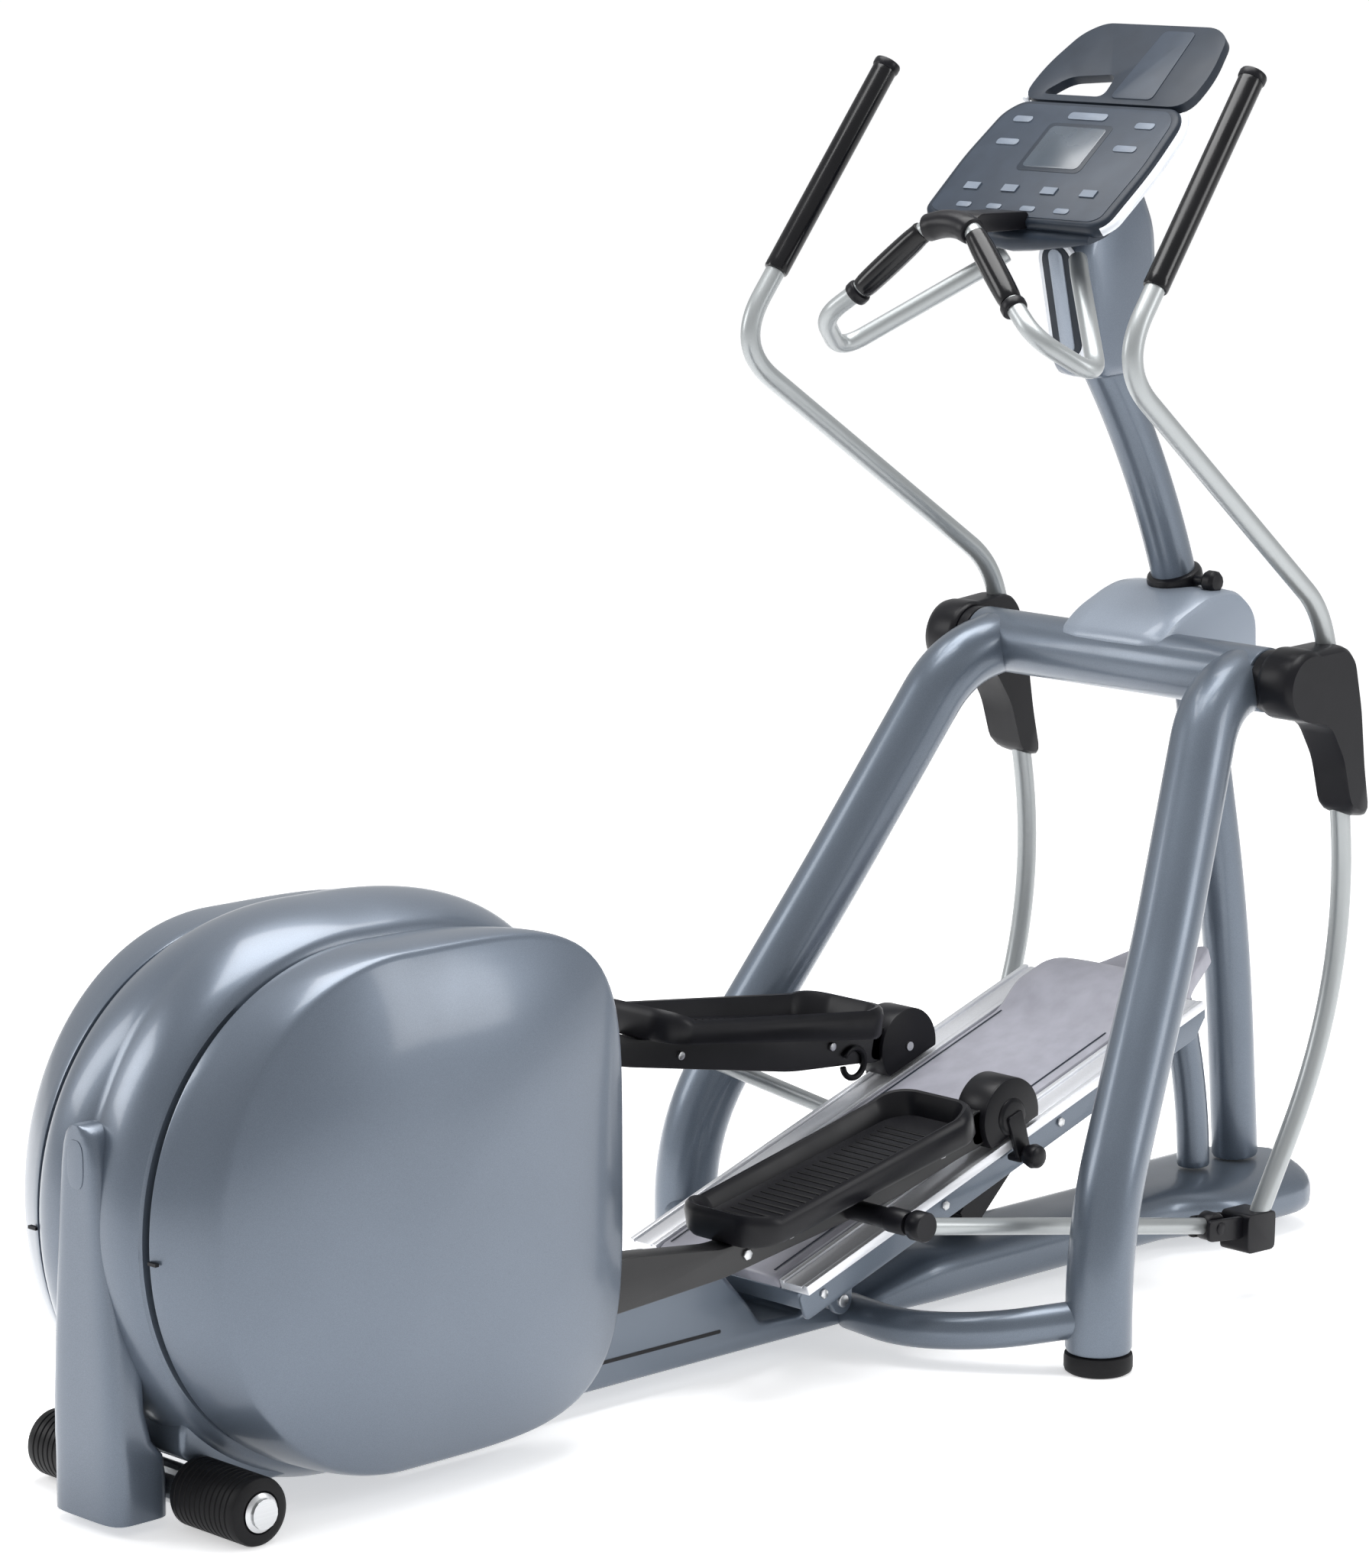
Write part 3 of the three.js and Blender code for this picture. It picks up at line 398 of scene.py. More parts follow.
def superellipse(half_a, half_b, power, count=40):
    """Outline between an ellipse, at power 2, and a rectangle, at a high power."""
    points = []
    for a in circle(count):
        c, s = math.cos(a), math.sin(a)
        scale = (abs(c) ** power + abs(s) ** power) ** (-1 / power)
        points.append((half_a * c * scale, half_b * s * scale))
    return points


def rod_y(radius, y0, y1, x, z, edge=1.5, segments=40):
    """A round bar along Y with eased rims."""
    low, high = min(y0, y1), max(y0, y1)
    ease = edge * 0.3
    profile = [(0, low), (radius - edge, low), (radius - ease, low + ease), (radius, low + edge),
               (radius, high - edge), (radius - ease, high - ease), (radius - edge, high), (0, high)]
    return lathe(profile, x, z, segments)


# ------------------------------------------------------------------ housing
def housing_shape(angle, y):
    """Scale of the outline: round behind the axle, squarer ahead of it and towards the crease."""
    c, z = math.cos(angle), math.sin(angle)
    flare = min(1.0, max(0.0, (abs(y) - SHROUD_HALF) / (COVER_CREASE - SHROUD_HALF)))
    crown = max(0.0, 1 - abs(y) / SHROUD_HALF)
    if c > 0:
        reach = 1.1 + 0.015 * flare
        power = 2.05 + (0.95 + 1.4 * flare) * min(1.0, c / 0.2)
    else:
        reach = 1.03 - 0.13 * flare - 0.077 * crown
        power = 2.05
    return (abs(c / reach) ** power + abs(z) ** power) ** (-1 / power)


def crown_radius(y):
    """Radius of the centre shroud, which swells towards its middle."""
    return SHROUD_RADIUS + SHROUD_CROWN * max(0.0, 1 - (y / SHROUD_HALF) ** 2) ** 0.72


def make_housing():
    """Centre shroud, the two outer covers and a short black block of painted slot shade behind each cover's
    rim.
    """
    half = SHROUD_HALF
    crown = [(crown_radius(y), y) for y in range(-96, 97, 8)]
    edge = SHROUD_RADIUS - 1.5
    profile = [(0, -half), (edge, -half), (edge + 1.5, 1.2 - half), *crown,
               (edge + 1.5, half - 1.2), (edge, half), (0, half)]
    emit("housing_centre", lathe(profile, 0, AXLE_Z, 180, housing_shape), "frame", HOUSING,
         stands_for=["centre_shroud"])
    rim = [(325.5, COVER_INNER), (327.4, 108.8), (328.2, 111), (328.8, 125), (329.2, 140), (329, 152),
           (328, 166), (326.4, 177), (324.4, 184.5), (322.6, 188), (320, 190.6)]
    face = [(316, 192.8), (308, 196.6), (298, 201.2), (284, 207), (262, 214.4), (236, 221.6), (205, 228.6),
            (165, 235.2), (120, 240.6), (70, 244.8), (30, 247.2), (0, 248)]
    lining = [(322, 108.4), (322, 150), (308, 186), (214, 218), (0, 242)]
    for name, side in SIDES:
        cup = lathe([*reversed(face), *reversed(rim), *lining], 0, AXLE_Z, 180, housing_shape)
        emit(f"housing_cover_{name}", mirrored(cut_window(cup), side), "frame", HOUSING,
             stands_for=[f"outer_cover_{name}"])
        # Painted shade: a small black block at the back of each cover's rim makes the dark slot beside it
        # look wider.
        slot_shade = block(-335.6, -330, 109, 124, 346, 350)
        emit(f"painted_slot_shade_{name}", mirrored(slot_shade, side), "frame", BLACK)


def cut_window(cup):
    """Opens the front of a cover, where the pedal arm comes out."""
    for corner, normal in (((WINDOW_REAR, 0, 0), (1, 0, 0)), ((0, WINDOW_OUTER, 0), (0, 1, 0)),
                           ((0, 0, WINDOW_LOW), (0, 0, 1)), ((0, 0, WINDOW_HIGH), (0, 0, 1))):
        near = [f for f in cup.faces if f.calc_center_median().x > WINDOW_REAR - 12
                and f.calc_center_median().y < WINDOW_OUTER + 17]
        edges = {e for f in near for e in f.edges}
        verts = {v for f in near for v in f.verts}
        bmesh.ops.bisect_plane(cup, geom=[*verts, *edges, *near], dist=WELD, plane_co=corner, plane_no=normal)
    inside = []
    for face in cup.faces:
        centre = face.calc_center_median()
        if centre.x > WINDOW_REAR and centre.y < WINDOW_OUTER and WINDOW_LOW < centre.z < WINDOW_HIGH:
            inside.append(face)
    bmesh.ops.delete(cup, geom=inside, context="FACES")
    return cup


def make_rear_post():
    """A tapering post that hugs the back of the housing, with a foot between the rollers."""
    rings = []
    for z, half, front in ((14, 66, -268), (60, 66, -268), (90, 65.4, -272), (110, 64.8, -290),
                           (150, 63, -300), (230, 58, -300), (320, 50, -300), (400, 42, -300),
                           (450, 36, -300), (474, 31, -300), (488, 25, -300), (496, 17, -300),
                           (500, 8, -300)):
        depth = front - REAR_END
        rings.append([((REAR_END + front) / 2 + a, b, z) for a, b in superellipse(depth / 2, half, 5, 56)])
    emit("rear_post", skin(rings), "frame", HOUSING, stands_for=["rear_post_cover"])
    inlay = []
    for step, k in ((-0.6, 0.82), (-0.2, 1), (0.6, 1)):
        inlay.append([(REAR_END - 0.5 + step, y * k, 452 + z * k) for y, z in superellipse(15, 30, 3, 32)])
    emit("post_recess", skin(inlay), "frame", HOUSING)
    head = []
    for step, r in ((0, 4.5), (0, 6), (1.5, 6)):
        head.append([(REAR_END - 0.7 + step, r * math.cos(a), 446 + r * math.sin(a)) for a in circle(20)])
    emit("post_screw", skin(head), "frame", BLACK)


def make_transport_rollers():
    """Grooved rubber rollers with steel hubs behind the housing."""
    x, z = TRANSPORT_ROLLER
    r = TRANSPORT_RADIUS
    profile = [(13, 80), (38, 80), (41.5, 81.5), (r, 84)]
    for y in [84 + i * 9.5 for i in range(1, 12)]:
        profile += [(r, y - 3.2), (r - 1.4, y - 2.2), (r - 1.4, y - 1.0), (r, y)]
    profile += [(r, 196), (41.5, 200), (36, 203), (27, 203.5), (25, 199), (13, 199)]
    for name, side in SIDES:
        emit(f"transport_roller_{name}", mirrored(lathe(profile, x, z, 56), side), f"wheel_{name}", RUBBER,
             stands_for=[f"transport_wheel_{name}"])
        hub = lathe([(12.6, 199), (24, 199), (24.5, 204), (20, 207), (12.6, 207)], x, z, 40)
        emit(f"roller_hub_{name}", mirrored(hub, side), f"wheel_{name}", STEEL)


# ------------------------------------------------------------------ base frame
def make_spine():
    """Centre beam with a black strip of painted groove shade down each side, the brackets under the covers
    and the ramp's pivot bosses.
    """
    half = SPINE_HALF
    outline = [(-262, 84), (-262, 128), (-215, 150), (275, 150), (400, 171), (640, 150), (700, 84), (716, 62),
               (795, 58), (812, 92), (835, 103), (858, 92), (876, 58), (929, 52), (929, 28), (380, 28),
               (-150, 28)]
    emit("spine", slab(softened(outline, 14, 4), -half, half), "frame", PAINT, bevel=9,
         stands_for=["spine_beam"])
    # Painted shade: a thin black strip on each side of the beam stands in for the dark inside of a side
    # groove, which is not cut.
    groove_shade = softened([(-120, 62), (640, 62), (640, 67), (-120, 67)], 2, 2)
    for name, side in SIDES:
        emit(f"spine_groove_shade_{name}", mirrored(slab(groove_shade, half - 0.6, half + 0.6), side), "frame", BLACK)
        bracket = block(-70, 70, half - 4, COVER_CREASE, 49, 60)
        emit(f"cover_bracket_{name}", mirrored(bracket, side), "frame", PAINT, bevel=2)
        boss = merge(rod_y(16, half, 97, *RAMP_PIVOT), rod_y(9, 96, 112, *RAMP_PIVOT))
        emit(f"pivot_boss_{name}", mirrored(boss, side), "frame", STEEL)


def beam_section(x):
    """Half width, underside and top of the front beam at x."""
    if x < BEAM_FULL:
        k = (x - BEAM_REAR) / (BEAM_FULL - BEAM_REAR)
        return 56 + 22 * k, 12, 46 + 44 * max(0.0, k) ** 0.8
    if x < BEAM_FLARE:
        return 78, 12, 90
    k = min(1.0, (x - BEAM_FLARE) / 110)
    ease = k * k * (3 - 2 * k)
    half = 78 + 44 * ease
    if x > BEAM_NOSE:
        t = min(1.0, (x - BEAM_NOSE) / (BEAM_FRONT - BEAM_NOSE))
        half *= math.sqrt(max(0.0, 1 - t ** 3.2)) * 0.99 + 0.01
    return half, 12, 90


def make_front_beam():
    """Front beam, which flares into a round-nosed foot, and its levelling pads."""
    stations = [BEAM_REAR, 934, 945, 965, 1000, 1040, BEAM_FULL, 1100, 1200, 1350, 1480, BEAM_FLARE, 1550,
                1575, 1600, 1625, 1650, 1700, BEAM_NOSE, 1775, 1795, 1810, 1822, 1830, 1835, BEAM_FRONT - 0.4]
    rings = []
    for x in stations:
        half, low, high = beam_section(x)
        end = 1.0 if x > 945 else 0.86 + 0.14 * (x - BEAM_REAR) / 15
        ring = [(x, a * end, (low + high) / 2 + b * end)
                for a, b in superellipse(half, (high - low) / 2, 3.0, 48)]
        rings.append(ring)
    emit("front_foot_beam", skin(rings), "frame", PAINT, stands_for=["front_beam"])
    for name, side in SIDES:
        pad = sheet(rounded_box(1676, 1724, 50, 98, 23), 0, 14)
        emit(f"levelling_foot_{name}", mirrored(pad, side), "frame", RUBBER, bevel=2)


LEG_PATH = [(*LEG_FOOT, 26.4), (*LEG_FOOT, 195), (1240, 315, 540), (1405, 243, 835), (1494, 230, 857)]
FORK_PATH = [(886, 70, 44), (866, 190, 46), (925, 292, 52), (1012, 388, 74)]


def make_legs():
    """Splayed legs with their rubber caps, and the curved arms that tie them to the centre beam."""
    foot_x, foot_y = LEG_FOOT
    cap = [(AXIS_GAP, 0), (40, 0), (44.5, 3), (46, 8), (46, 20), (45, 25.5), (40, 28), (AXIS_GAP, 28)]
    for name, side in SIDES:
        leg, fork = [[(x, y * side, z) for x, y, z in path] for path in (LEG_PATH, FORK_PATH)]
        emit(f"leg_tube_{name}", sweep(bent(leg, [110, 60, 60]), LEG_RADIUS, 40), "frame", PAINT,
             stands_for=[f"leg_{name}"])
        rings = []
        for r, z in cap:
            rings.append([(foot_x + r * math.cos(a), side * foot_y + r * math.sin(a), z) for a in circle(48)])
        emit(f"leg_cap_{name}", skin(rings), "frame", RUBBER, stands_for=[f"leg_foot_{name}"])
        emit(f"fork_tube_{name}", sweep(bent(fork, [57, 57], 16), FORK_RADIUS, 32), "frame", PAINT,
             stands_for=[f"fork_arm_{name}"])


def make_upper_frame():
    """Crossbar with the levers' shaft, front post, guide post, and the mast with its collar and knob."""
    x, z = LEVER_PIVOT
    half, r = CROSSBAR_HALF, CROSSBAR_RADIUS
    bar = lathe([(0, -half), (r - 3, -half), (r - 0.6, 1 - half), (r, 4 - half),
                 (r, half - 4), (r - 0.6, half - 1), (r - 3, half), (0, half)], x, z, 48)
    emit("crossbar_tube", bar, "frame", PAINT, stands_for=["crossbar"])
    emit("lever_shaft", rod_y(16, -336, 336, x, z), "frame", STEEL)
    post = bent([(1760, 0, 93.5), (1733, 0, 440), (1652, 0, 838)], [160], 20)
    emit("front_post_tube", sweep(post, POST_RADIUS, 40), "frame", PAINT, stands_for=["front_post"])
    guide = [Vector((px, 0, pz)) for px, pz in arc(*RAMP_PIVOT, GUIDE_RADIUS, 1.3, 28, 36)]
    emit("guide_tube", sweep(guide, GUIDE_TUBE_RADIUS, 32), "frame", PAINT, stands_for=["guide_post"])
    mast = bent([(1645, 0, 853), (1550, 0, 1120), (1434, 0, 1300)], [150], 20)
    emit("mast_tube", sweep(mast, MAST_RADIUS, 40), "frame", PAINT, stands_for=["column"])
    collar = [Vector((1611, 0, 949)), Vector((1603, 0, 972))]
    emit("mast_collar", sweep(collar, 40, 40), "frame", BLACK)
    head = lathe([(0, -60), (13, -60), (16, -64), (16, -76), (12, -81), (0, -82)], 1606, 962, 12)
    emit("mast_knob", merge(rod_y(7, -60, -34, 1606, 962), head), "frame", BLACK, bevel=0.8)


def make_saddle():
    """Moulded cover that carries the mast over the crossbar."""
    slices = [(-100, 0.55, 0.5), (-97, 0.8, 0.8), (-88, 0.95, 0.95), (-60, 1, 1), (0, 1.02, 1.03), (60, 1, 1),
              (88, 0.95, 0.95), (97, 0.8, 0.8), (100, 0.55, 0.5)]
    outline = softened([(1456, 886), (1498, 921), (1575, 953), (1642, 951), (1680, 915), (1684, 806),
                        (1610, 786), (1546, 830), (1500, 838)], 26, 6)
    cx, cz = 1585, 872
    rings = []
    for y, kx, kz in slices:
        rings.append([(cx + (px - cx) * (0.7 + 0.3 * kx), y * 0.96, cz + (pz - cz) * (0.62 + 0.38 * kz))
                      for px, pz in outline])
    emit("mast_saddle", skin(rings), "frame", SADDLE, stands_for=["saddle_cover"])


# ------------------------------------------------------------------ console
def make_console():
    """Console body with its underside, face, display, marks, and a pale strip down its right edge."""
    plan = [(0, -150), (14, -168), (120, -172), (212, -164), (238, -142), (238, 142), (212, 164), (120, 172),
            (14, 168), (0, 150)]
    outline = softened(plan, 22, 5)
    rings = []
    for z, inset in ((-30, 16), (-27, 7), (-20, 2), (-8, 0), (-3, 1.5), (-0.8, 4), (0, 8)):
        rings.append([(119 + (x - 119) * (1 - inset / 119), y * (1 - inset / 172), z) for x, y in outline])
    emit("console_body", skin(rings), "frame", SLATE, PANEL, stands_for=["console_shell"])
    chin = [(-16, -14), (-24, -34), (20, -74), (140, -74), (190, -20)]
    wedge = []
    for y in (-1, -0.8, -0.45, 0, 0.45, 0.8, 1):
        depth = 1 - 0.55 * abs(y) ** 1.6
        wedge.append([(96 + (x - 96) * (1 - 0.12 * abs(y)), y * 138, -20 + (z + 20) * depth)
                      for x, z in softened(chin, 14, 4)])
    emit("console_chin", skin(wedge), "frame", SLATE_LIGHT, PANEL, bevel=3)
    face = softened([(9, -142), (18, -156), (118, -161), (206, -154), (228, -134), (228, 134), (206, 154),
                     (118, 161), (18, 156), (9, 142)], 18, 5)
    emit("console_face", sheet(face, -1, 0.9), "frame", SLATE_LIGHT, PANEL, bevel=0.6)
    screen = sheet(rounded_box(104, 186, -52, 50, 8), 0, 2.0)
    emit("console_display", screen, "frame", SCREEN, PANEL, bevel=0.6)
    bezel = sheet(rounded_box(97, 193, -60, 58, 10), 0, 1.4)
    emit("console_bezel", bezel, "frame", SLATE, PANEL, bevel=0.4)
    marks = []
    for x, y, long, deep in ((208, 0, 70, 14), (196, 112, 34, 12), (196, -112, 34, 12), (150, 108, 40, 12),
                             (150, -108, 40, 12), (24, 98, 26, 10), (24, 42, 26, 10), (24, -20, 26, 10),
                             (24, -82, 26, 10)):
        outline = rounded_box(x - deep / 2, x + deep / 2, y - long / 2, y + long / 2, deep * 0.42)
        marks.append(sheet(outline, 0, 2.2))
    emit("console_pads", merge(*marks), "frame", KEY, PANEL, bevel=0.5)
    edge = [(6, -158, -14), (22, -171, -14), (120, -175, -14), (210, -167, -14), (236, -146, -14)]
    emit("console_edge_strip", sweep(bent(edge, [8, 40, 30]), 6.5, 16), "frame", LIGHT, PANEL)


def make_rack():
    """Reading rack with a hand slot, a broad band and a pale strip down its left edge."""
    low, high = PANEL_LENGTH, PANEL_LENGTH + 162
    outer = softened([(low + 2, -150), (low + 70, -153), (low + 142, -132), (high, -100), (high, 104),
                      (low + 138, 132), (low + 70, 152), (low + 2, 150)], 34, 6)
    slot = softened([(low + 14, 6), (low + 60, 12), (low + 50, 92), (low + 14, 122)], 16, 6)
    emit("rack_plate", plate_with_hole(outer, slot, -16, -2), "frame", SLATE, PANEL, bevel=2.2,
         stands_for=["reading_rack"])
    band = softened([(low + 12, -84), (high - 12, -72), (high - 12, -14), (low + 12, -8)], 10, 4)
    emit("rack_band_0", sheet(band, -3, -0.8), "frame", SLATE_LIGHT, PANEL, bevel=0.8)
    side = [(low + 6, 148, -9), (low + 70, 150, -9), (low + 128, 134, -9)]
    emit("rack_side_strip", sweep(bent(side, [40], 8), 5.5, 16), "frame", LIGHT, PANEL)


def plate_with_hole(outer, hole, z0, z1):
    """A flat plate with an opening: both faces filled, then the two walls."""
    bm = bmesh.new()
    for z in (z0, z1):
        edges = []
        for loop in (outer, hole):
            verts = [bm.verts.new((x, y, z)) for x, y in loop]
            edges += [bm.edges.new((verts[i], verts[(i + 1) % len(verts)])) for i in range(len(verts))]
        bmesh.ops.triangle_fill(bm, use_beauty=True, edges=edges)
    for loop in (outer, hole):
        for i in range(len(loop)):
            a, b = loop[i], loop[(i + 1) % len(loop)]
            bm.faces.new([bm.verts.new((*p, z)) for p, z in ((a, z0), (b, z0), (b, z1), (a, z1))])
    bmesh.ops.remove_doubles(bm, verts=bm.verts, dist=WELD)
    inside = [f for f in bm.faces if abs(f.normal.z) > 0.9 and within(f.calc_center_median(), hole)]
    bmesh.ops.delete(bm, geom=inside, context="FACES_ONLY")
    return bm


def within(point, loop):
    """Whether a point lies inside a closed outline."""
    inside = False
    for i in range(len(loop)):
        (x0, y0), (x1, y1) = loop[i], loop[i - 1]
        if (y0 > point.y) != (y1 > point.y) and point.x < (x1 - x0) * (point.y - y0) / (y1 - y0) + x0:
            inside = not inside
    return inside


def make_neck():
    """Neck behind the console, with an arched recess on the user's side."""
    outline = softened([(1392, 1258), (1474, 1262), (1514, 1392), (1508, 1470), (1468, 1545), (1352, 1448)],
                       24, 6)
    cx, cz = 1440, 1400
    rings = []
    for y, k in ((-52, 0.74), (-48, 0.9), (-40, 0.97), (-20, 1), (20, 1), (40, 0.97), (48, 0.9), (52, 0.74)):
        rings.append([(cx + (x - cx) * k, y * 0.9, cz + (z - cz) * (0.5 + 0.5 * k)) for x, z in outline])
    emit("neck_shell", skin(rings), "frame", HOUSING, stands_for=["console_neck"])
    for name, half, low, high, proud, material in (("lip", 34, 1276, 1452, 2.4, LIGHT),
                                                   ("inlay", 27, 1290, 1446, 3.4, SLATE),
                                                   ("band", 13, 1296, 1440, 5.0, SADDLE)):
        arch = rounded_box(-half, half, low, high, half * 0.92, 12)
        rings = []
        for depth in (0, 8):
            rings.append([(1389.5 - (z - 1262) * 0.221 - proud + depth, y, z) for y, z in arch])
        emit(f"neck_{name}", skin(rings), "frame", material, bevel=1.2, segments=2)


def swelling_grip(share):
    """Radius of a sensor grip, thicker in its middle."""
    return 15.6 + 1.8 * math.sin(math.pi * min(1, share * 1.1)) ** 0.5


def make_handlebar():
    """Fixed handlebar of two loops, with sensor grips, collars, and the clamp and tongue that hold it."""
    half = [(1322, 66, 1433), (1302, 88, 1413), (1172, 240, 1296), (1096, 196, 1350), (1114, 134, 1396),
            (1142, 34, 1486)]
    cuts = [14, 40, 34, 24, 22]
    whole = half + [(x, -y, z) for x, y, z in reversed(half)]
    emit("bar_tube", sweep(bent(whole, cuts + cuts[::-1], 10), BAR_RADIUS), "frame", SILVER,
         stands_for=["handlebar"])
    for name, side in SIDES:
        low, high = Vector((1112.5, 138 * side, 1392)), Vector((1138, 48 * side, 1474))
        path = [low.lerp(high, i / 12) for i in range(13)]
        emit(f"sensor_grip_{name}", sweep(path, swelling_grip, 28), "frame", GRIP)
        collar = [low + (low - high).normalized() * d for d in (16, 2)]
        emit(f"grip_collar_{name}", sweep(collar, 18, 28), "frame", BLACK)
    joint = bent([(1139, 42, 1478), (1146, 0, 1490), (1139, -42, 1478)], [30])
    emit("bar_clamp", sweep(joint, 19, 28), "frame", BLACK)
    tongue = slab(softened([(1140, 1474), (1166, 1500), (1262, 1498), (1262, 1474)], 8, 3), -30, 30)
    emit("bar_tongue", tongue, "frame", BLACK, bevel=5)


# ------------------------------------------------------------------ ramp
def make_ramp():
    """Tray with its skirts, lugs, nose, rails and bolts."""
    tray = block(RAMP_REAR, RAMP_FRONT, -TRAY_HALF, TRAY_HALF, TRAY_LOW, TRAY_TOP)
    emit("tray_body", tray, "ramp", PAINT, RAMP, bevel=4, stands_for=["ramp_tray"])
    skirt = softened([(RAMP_REAR, 36), (RAMP_FRONT - 30, 36), (RAMP_FRONT, 58), (RAMP_FRONT, 78),
                      (RAMP_REAR, 78)], 10, 4)
    lug = [*arc(0, 0, 19, 190, 350), (42, 60), (-42, 60)]
    lift_lug = [*arc(560, 32, 14, 180, 360), (574, 60), (546, 60)]
    prong = softened([(RAMP_FRONT - 6, 27), (RAMP_FRONT - 6, 118), (790, 82), (877, 47), (877, 27)], 12, 4)
    for name, side in SIDES:
        for piece, mesh, bevel in (("tray_skirt", slab(skirt, TRAY_HALF - 5, TRAY_HALF + 0.6), 1.5),
                                   ("tray_lug", slab(lug, 98, 108), 1.5),
                                   ("lift_lug", slab(lift_lug, 14, 22), 1)):
            emit(f"{piece}_{name}", mirrored(mesh, side), "ramp", PAINT, RAMP, bevel=bevel)
        emit(f"nose_prong_{name}", mirrored(sheet(prong, 54, 78), side), "ramp", RAMP_GREY, RAMP, bevel=5)
        emit(f"track_rail_{name}", mirrored(track_rail(), side), "ramp", TRACK, RAMP, bevel=0.7, segments=2,
             stands_for=[f"ramp_track_{name}"])
        bolts = merge(*[rod_y(7, TRAY_HALF, TRAY_HALF + 4.5, s, 57, 1.4, 6)
                        for s in (RAMP_REAR + 40, 180, 420, 660)])
        emit(f"skirt_bolts_{name}", mirrored(bolts, side), "ramp", STEEL, RAMP, bevel=0.5)
    make_ramp_cover()


def track_rail():
    """Rolled channel section with two lips and a raised running strip."""
    section = [(118, DECK), (170, DECK), (170, 94), (162, 94), (162, 90), (159, 90), (159, 92), (129, 92),
               (129, 90), (126, 90), (126, 94), (118, 94)]
    return skin([[(s, y, t) for y, t in section] for s in (RAMP_REAR, RAMP_FRONT - 20)])


def cover_height(s):
    """Top of the moulded ramp cover along the ramp: flat, then a smooth hump at the front."""
    rise = min(1.0, max(0.0, (s - 585) / 70))
    fall = min(1.0, max(0.0, (s - 700) / 44))
    ease = rise * rise * (3 - 2 * rise)
    drop = fall * fall
    return 97 + 23 * ease - 16 * drop


def make_ramp_cover():
    """Moulded cover between the rails, with a dark line along each edge."""
    stations = [RAMP_REAR + d for d in (0, 3, 10)] + [*range(-60, 580, 60), *range(585, 743, 8), 743]
    eased = {RAMP_REAR: 6, RAMP_REAR + 3: 2}
    rings = []
    for s in stations:
        top = cover_height(s) - eased.get(s, 0)
        half = RAMP_COVER_HALF
        if s > 690:
            half -= 22 * ((s - 690) / 53) ** 2
        rings.append([(s, -half, DECK), (s, half, DECK), (s, half, top - 9), (s, half - 3, top - 3.5),
                      (s, half - 10, top - 0.8), (s, half * 0.6, top + 0.6), (s, 0, top + 1),
                      (s, -half * 0.6, top + 0.6), (s, -half + 10, top - 0.8), (s, -half + 3, top - 3.5),
                      (s, -half, top - 9)])
    emit("ramp_top", skin(rings), "ramp", RAMP_GREY, RAMP, stands_for=["ramp_cover"])
    for name, side in SIDES:
        line = block(RAMP_REAR + 12, 590, 98, 100, 97.2, 98.0)
        emit(f"ramp_line_{name}", mirrored(line, side), "ramp", SLATE_LIGHT, RAMP)


# ------------------------------------------------------------------ stride parts
def make_stride(name, side):
    """Roller with its hood, pedal arm and pedal on one side."""
    x, z = roller_centre(side)
    arm = tilted(arm_slope(side), x, z)
    tyre = lathe([(7, 131), (26, 131), (28, 132.5), (30.5, 131.4), (32, 133.5), (32, 152.5), (30.5, 154.6),
                  (28, 153.5), (26, 155), (7, 155)])
    emit(f"roller_tyre_{name}", mirrored(tyre, side), f"roller_{name}", RUBBER, tilted(0, x, z),
         stands_for=[f"roller_{name}"])
    make_hood(name, side, tilted(RAMP_ANGLE, x, z))
    if side > 0:
        make_lift_ring(name, arm)
    make_track_hook(name, side, tilted(RAMP_ANGLE, x, z))
    make_arm(name, side, arm)
    make_pedal(name, side, arm)


def make_hood(name, side, place):
    """Drum-shaped cover over the roller, with two end caps and a boss."""
    rim, core = arc(0, 0, HOOD_RADIUS, -26, 206, 40), arc(0, 0, HOOD_RADIUS - 4.5, 206, -26, 40)
    drum = slab(rim + core, 117.8, 169.4)
    caps = [slab(arc(0, 0, HOOD_RADIUS - 0.5, -26, 206, 40), *span) for span in ((117.6, 121), (166, 171.5))]
    boss = lathe([(7, 170), (26, 170), (26, 172.5), (22, 176), (7, 177.5)], 0, 0, 40)
    emit(f"roller_hood_{name}", mirrored(merge(drum, *caps, boss), side), f"cover_{name}", BLACK, place,
         bevel=1.2, segments=2, stands_for=[f"roller_cover_{name}"])


def make_lift_ring(name, place):
    """Open ring that hangs under the pedal arm."""
    ring = [Vector((-104 + 21 * math.cos(a), 121, -30 + 21 * math.sin(a)))
            for a in [math.radians(20 + k * 10) for k in range(-18, 15)]]
    emit(f"lift_ring_{name}", sweep(ring, 4.5, 16), f"arm_{name}", BLACK, place)


def make_track_hook(name, side, place):
    """Hook that reaches from the hood under the track, with a cone-shaped knob."""
    leg = slab(softened([(-15, 6), (15, 6), (12, -62), (-12, -62)], 6, 3), 172.5, 180.5)
    toe = slab(softened([(-13, -64), (13, -64), (13, -55), (-13, -55)], 3, 2), 158, 181)
    cone = lathe([(6, 181), (9, 181), (13, 184), (17, 196), (15, 206), (6, 209)], 0, -56, 32)
    emit(f"track_hook_{name}", mirrored(merge(leg, toe, cone), side), f"cover_{name}", BLACK, place,
         bevel=1.2, segments=2)


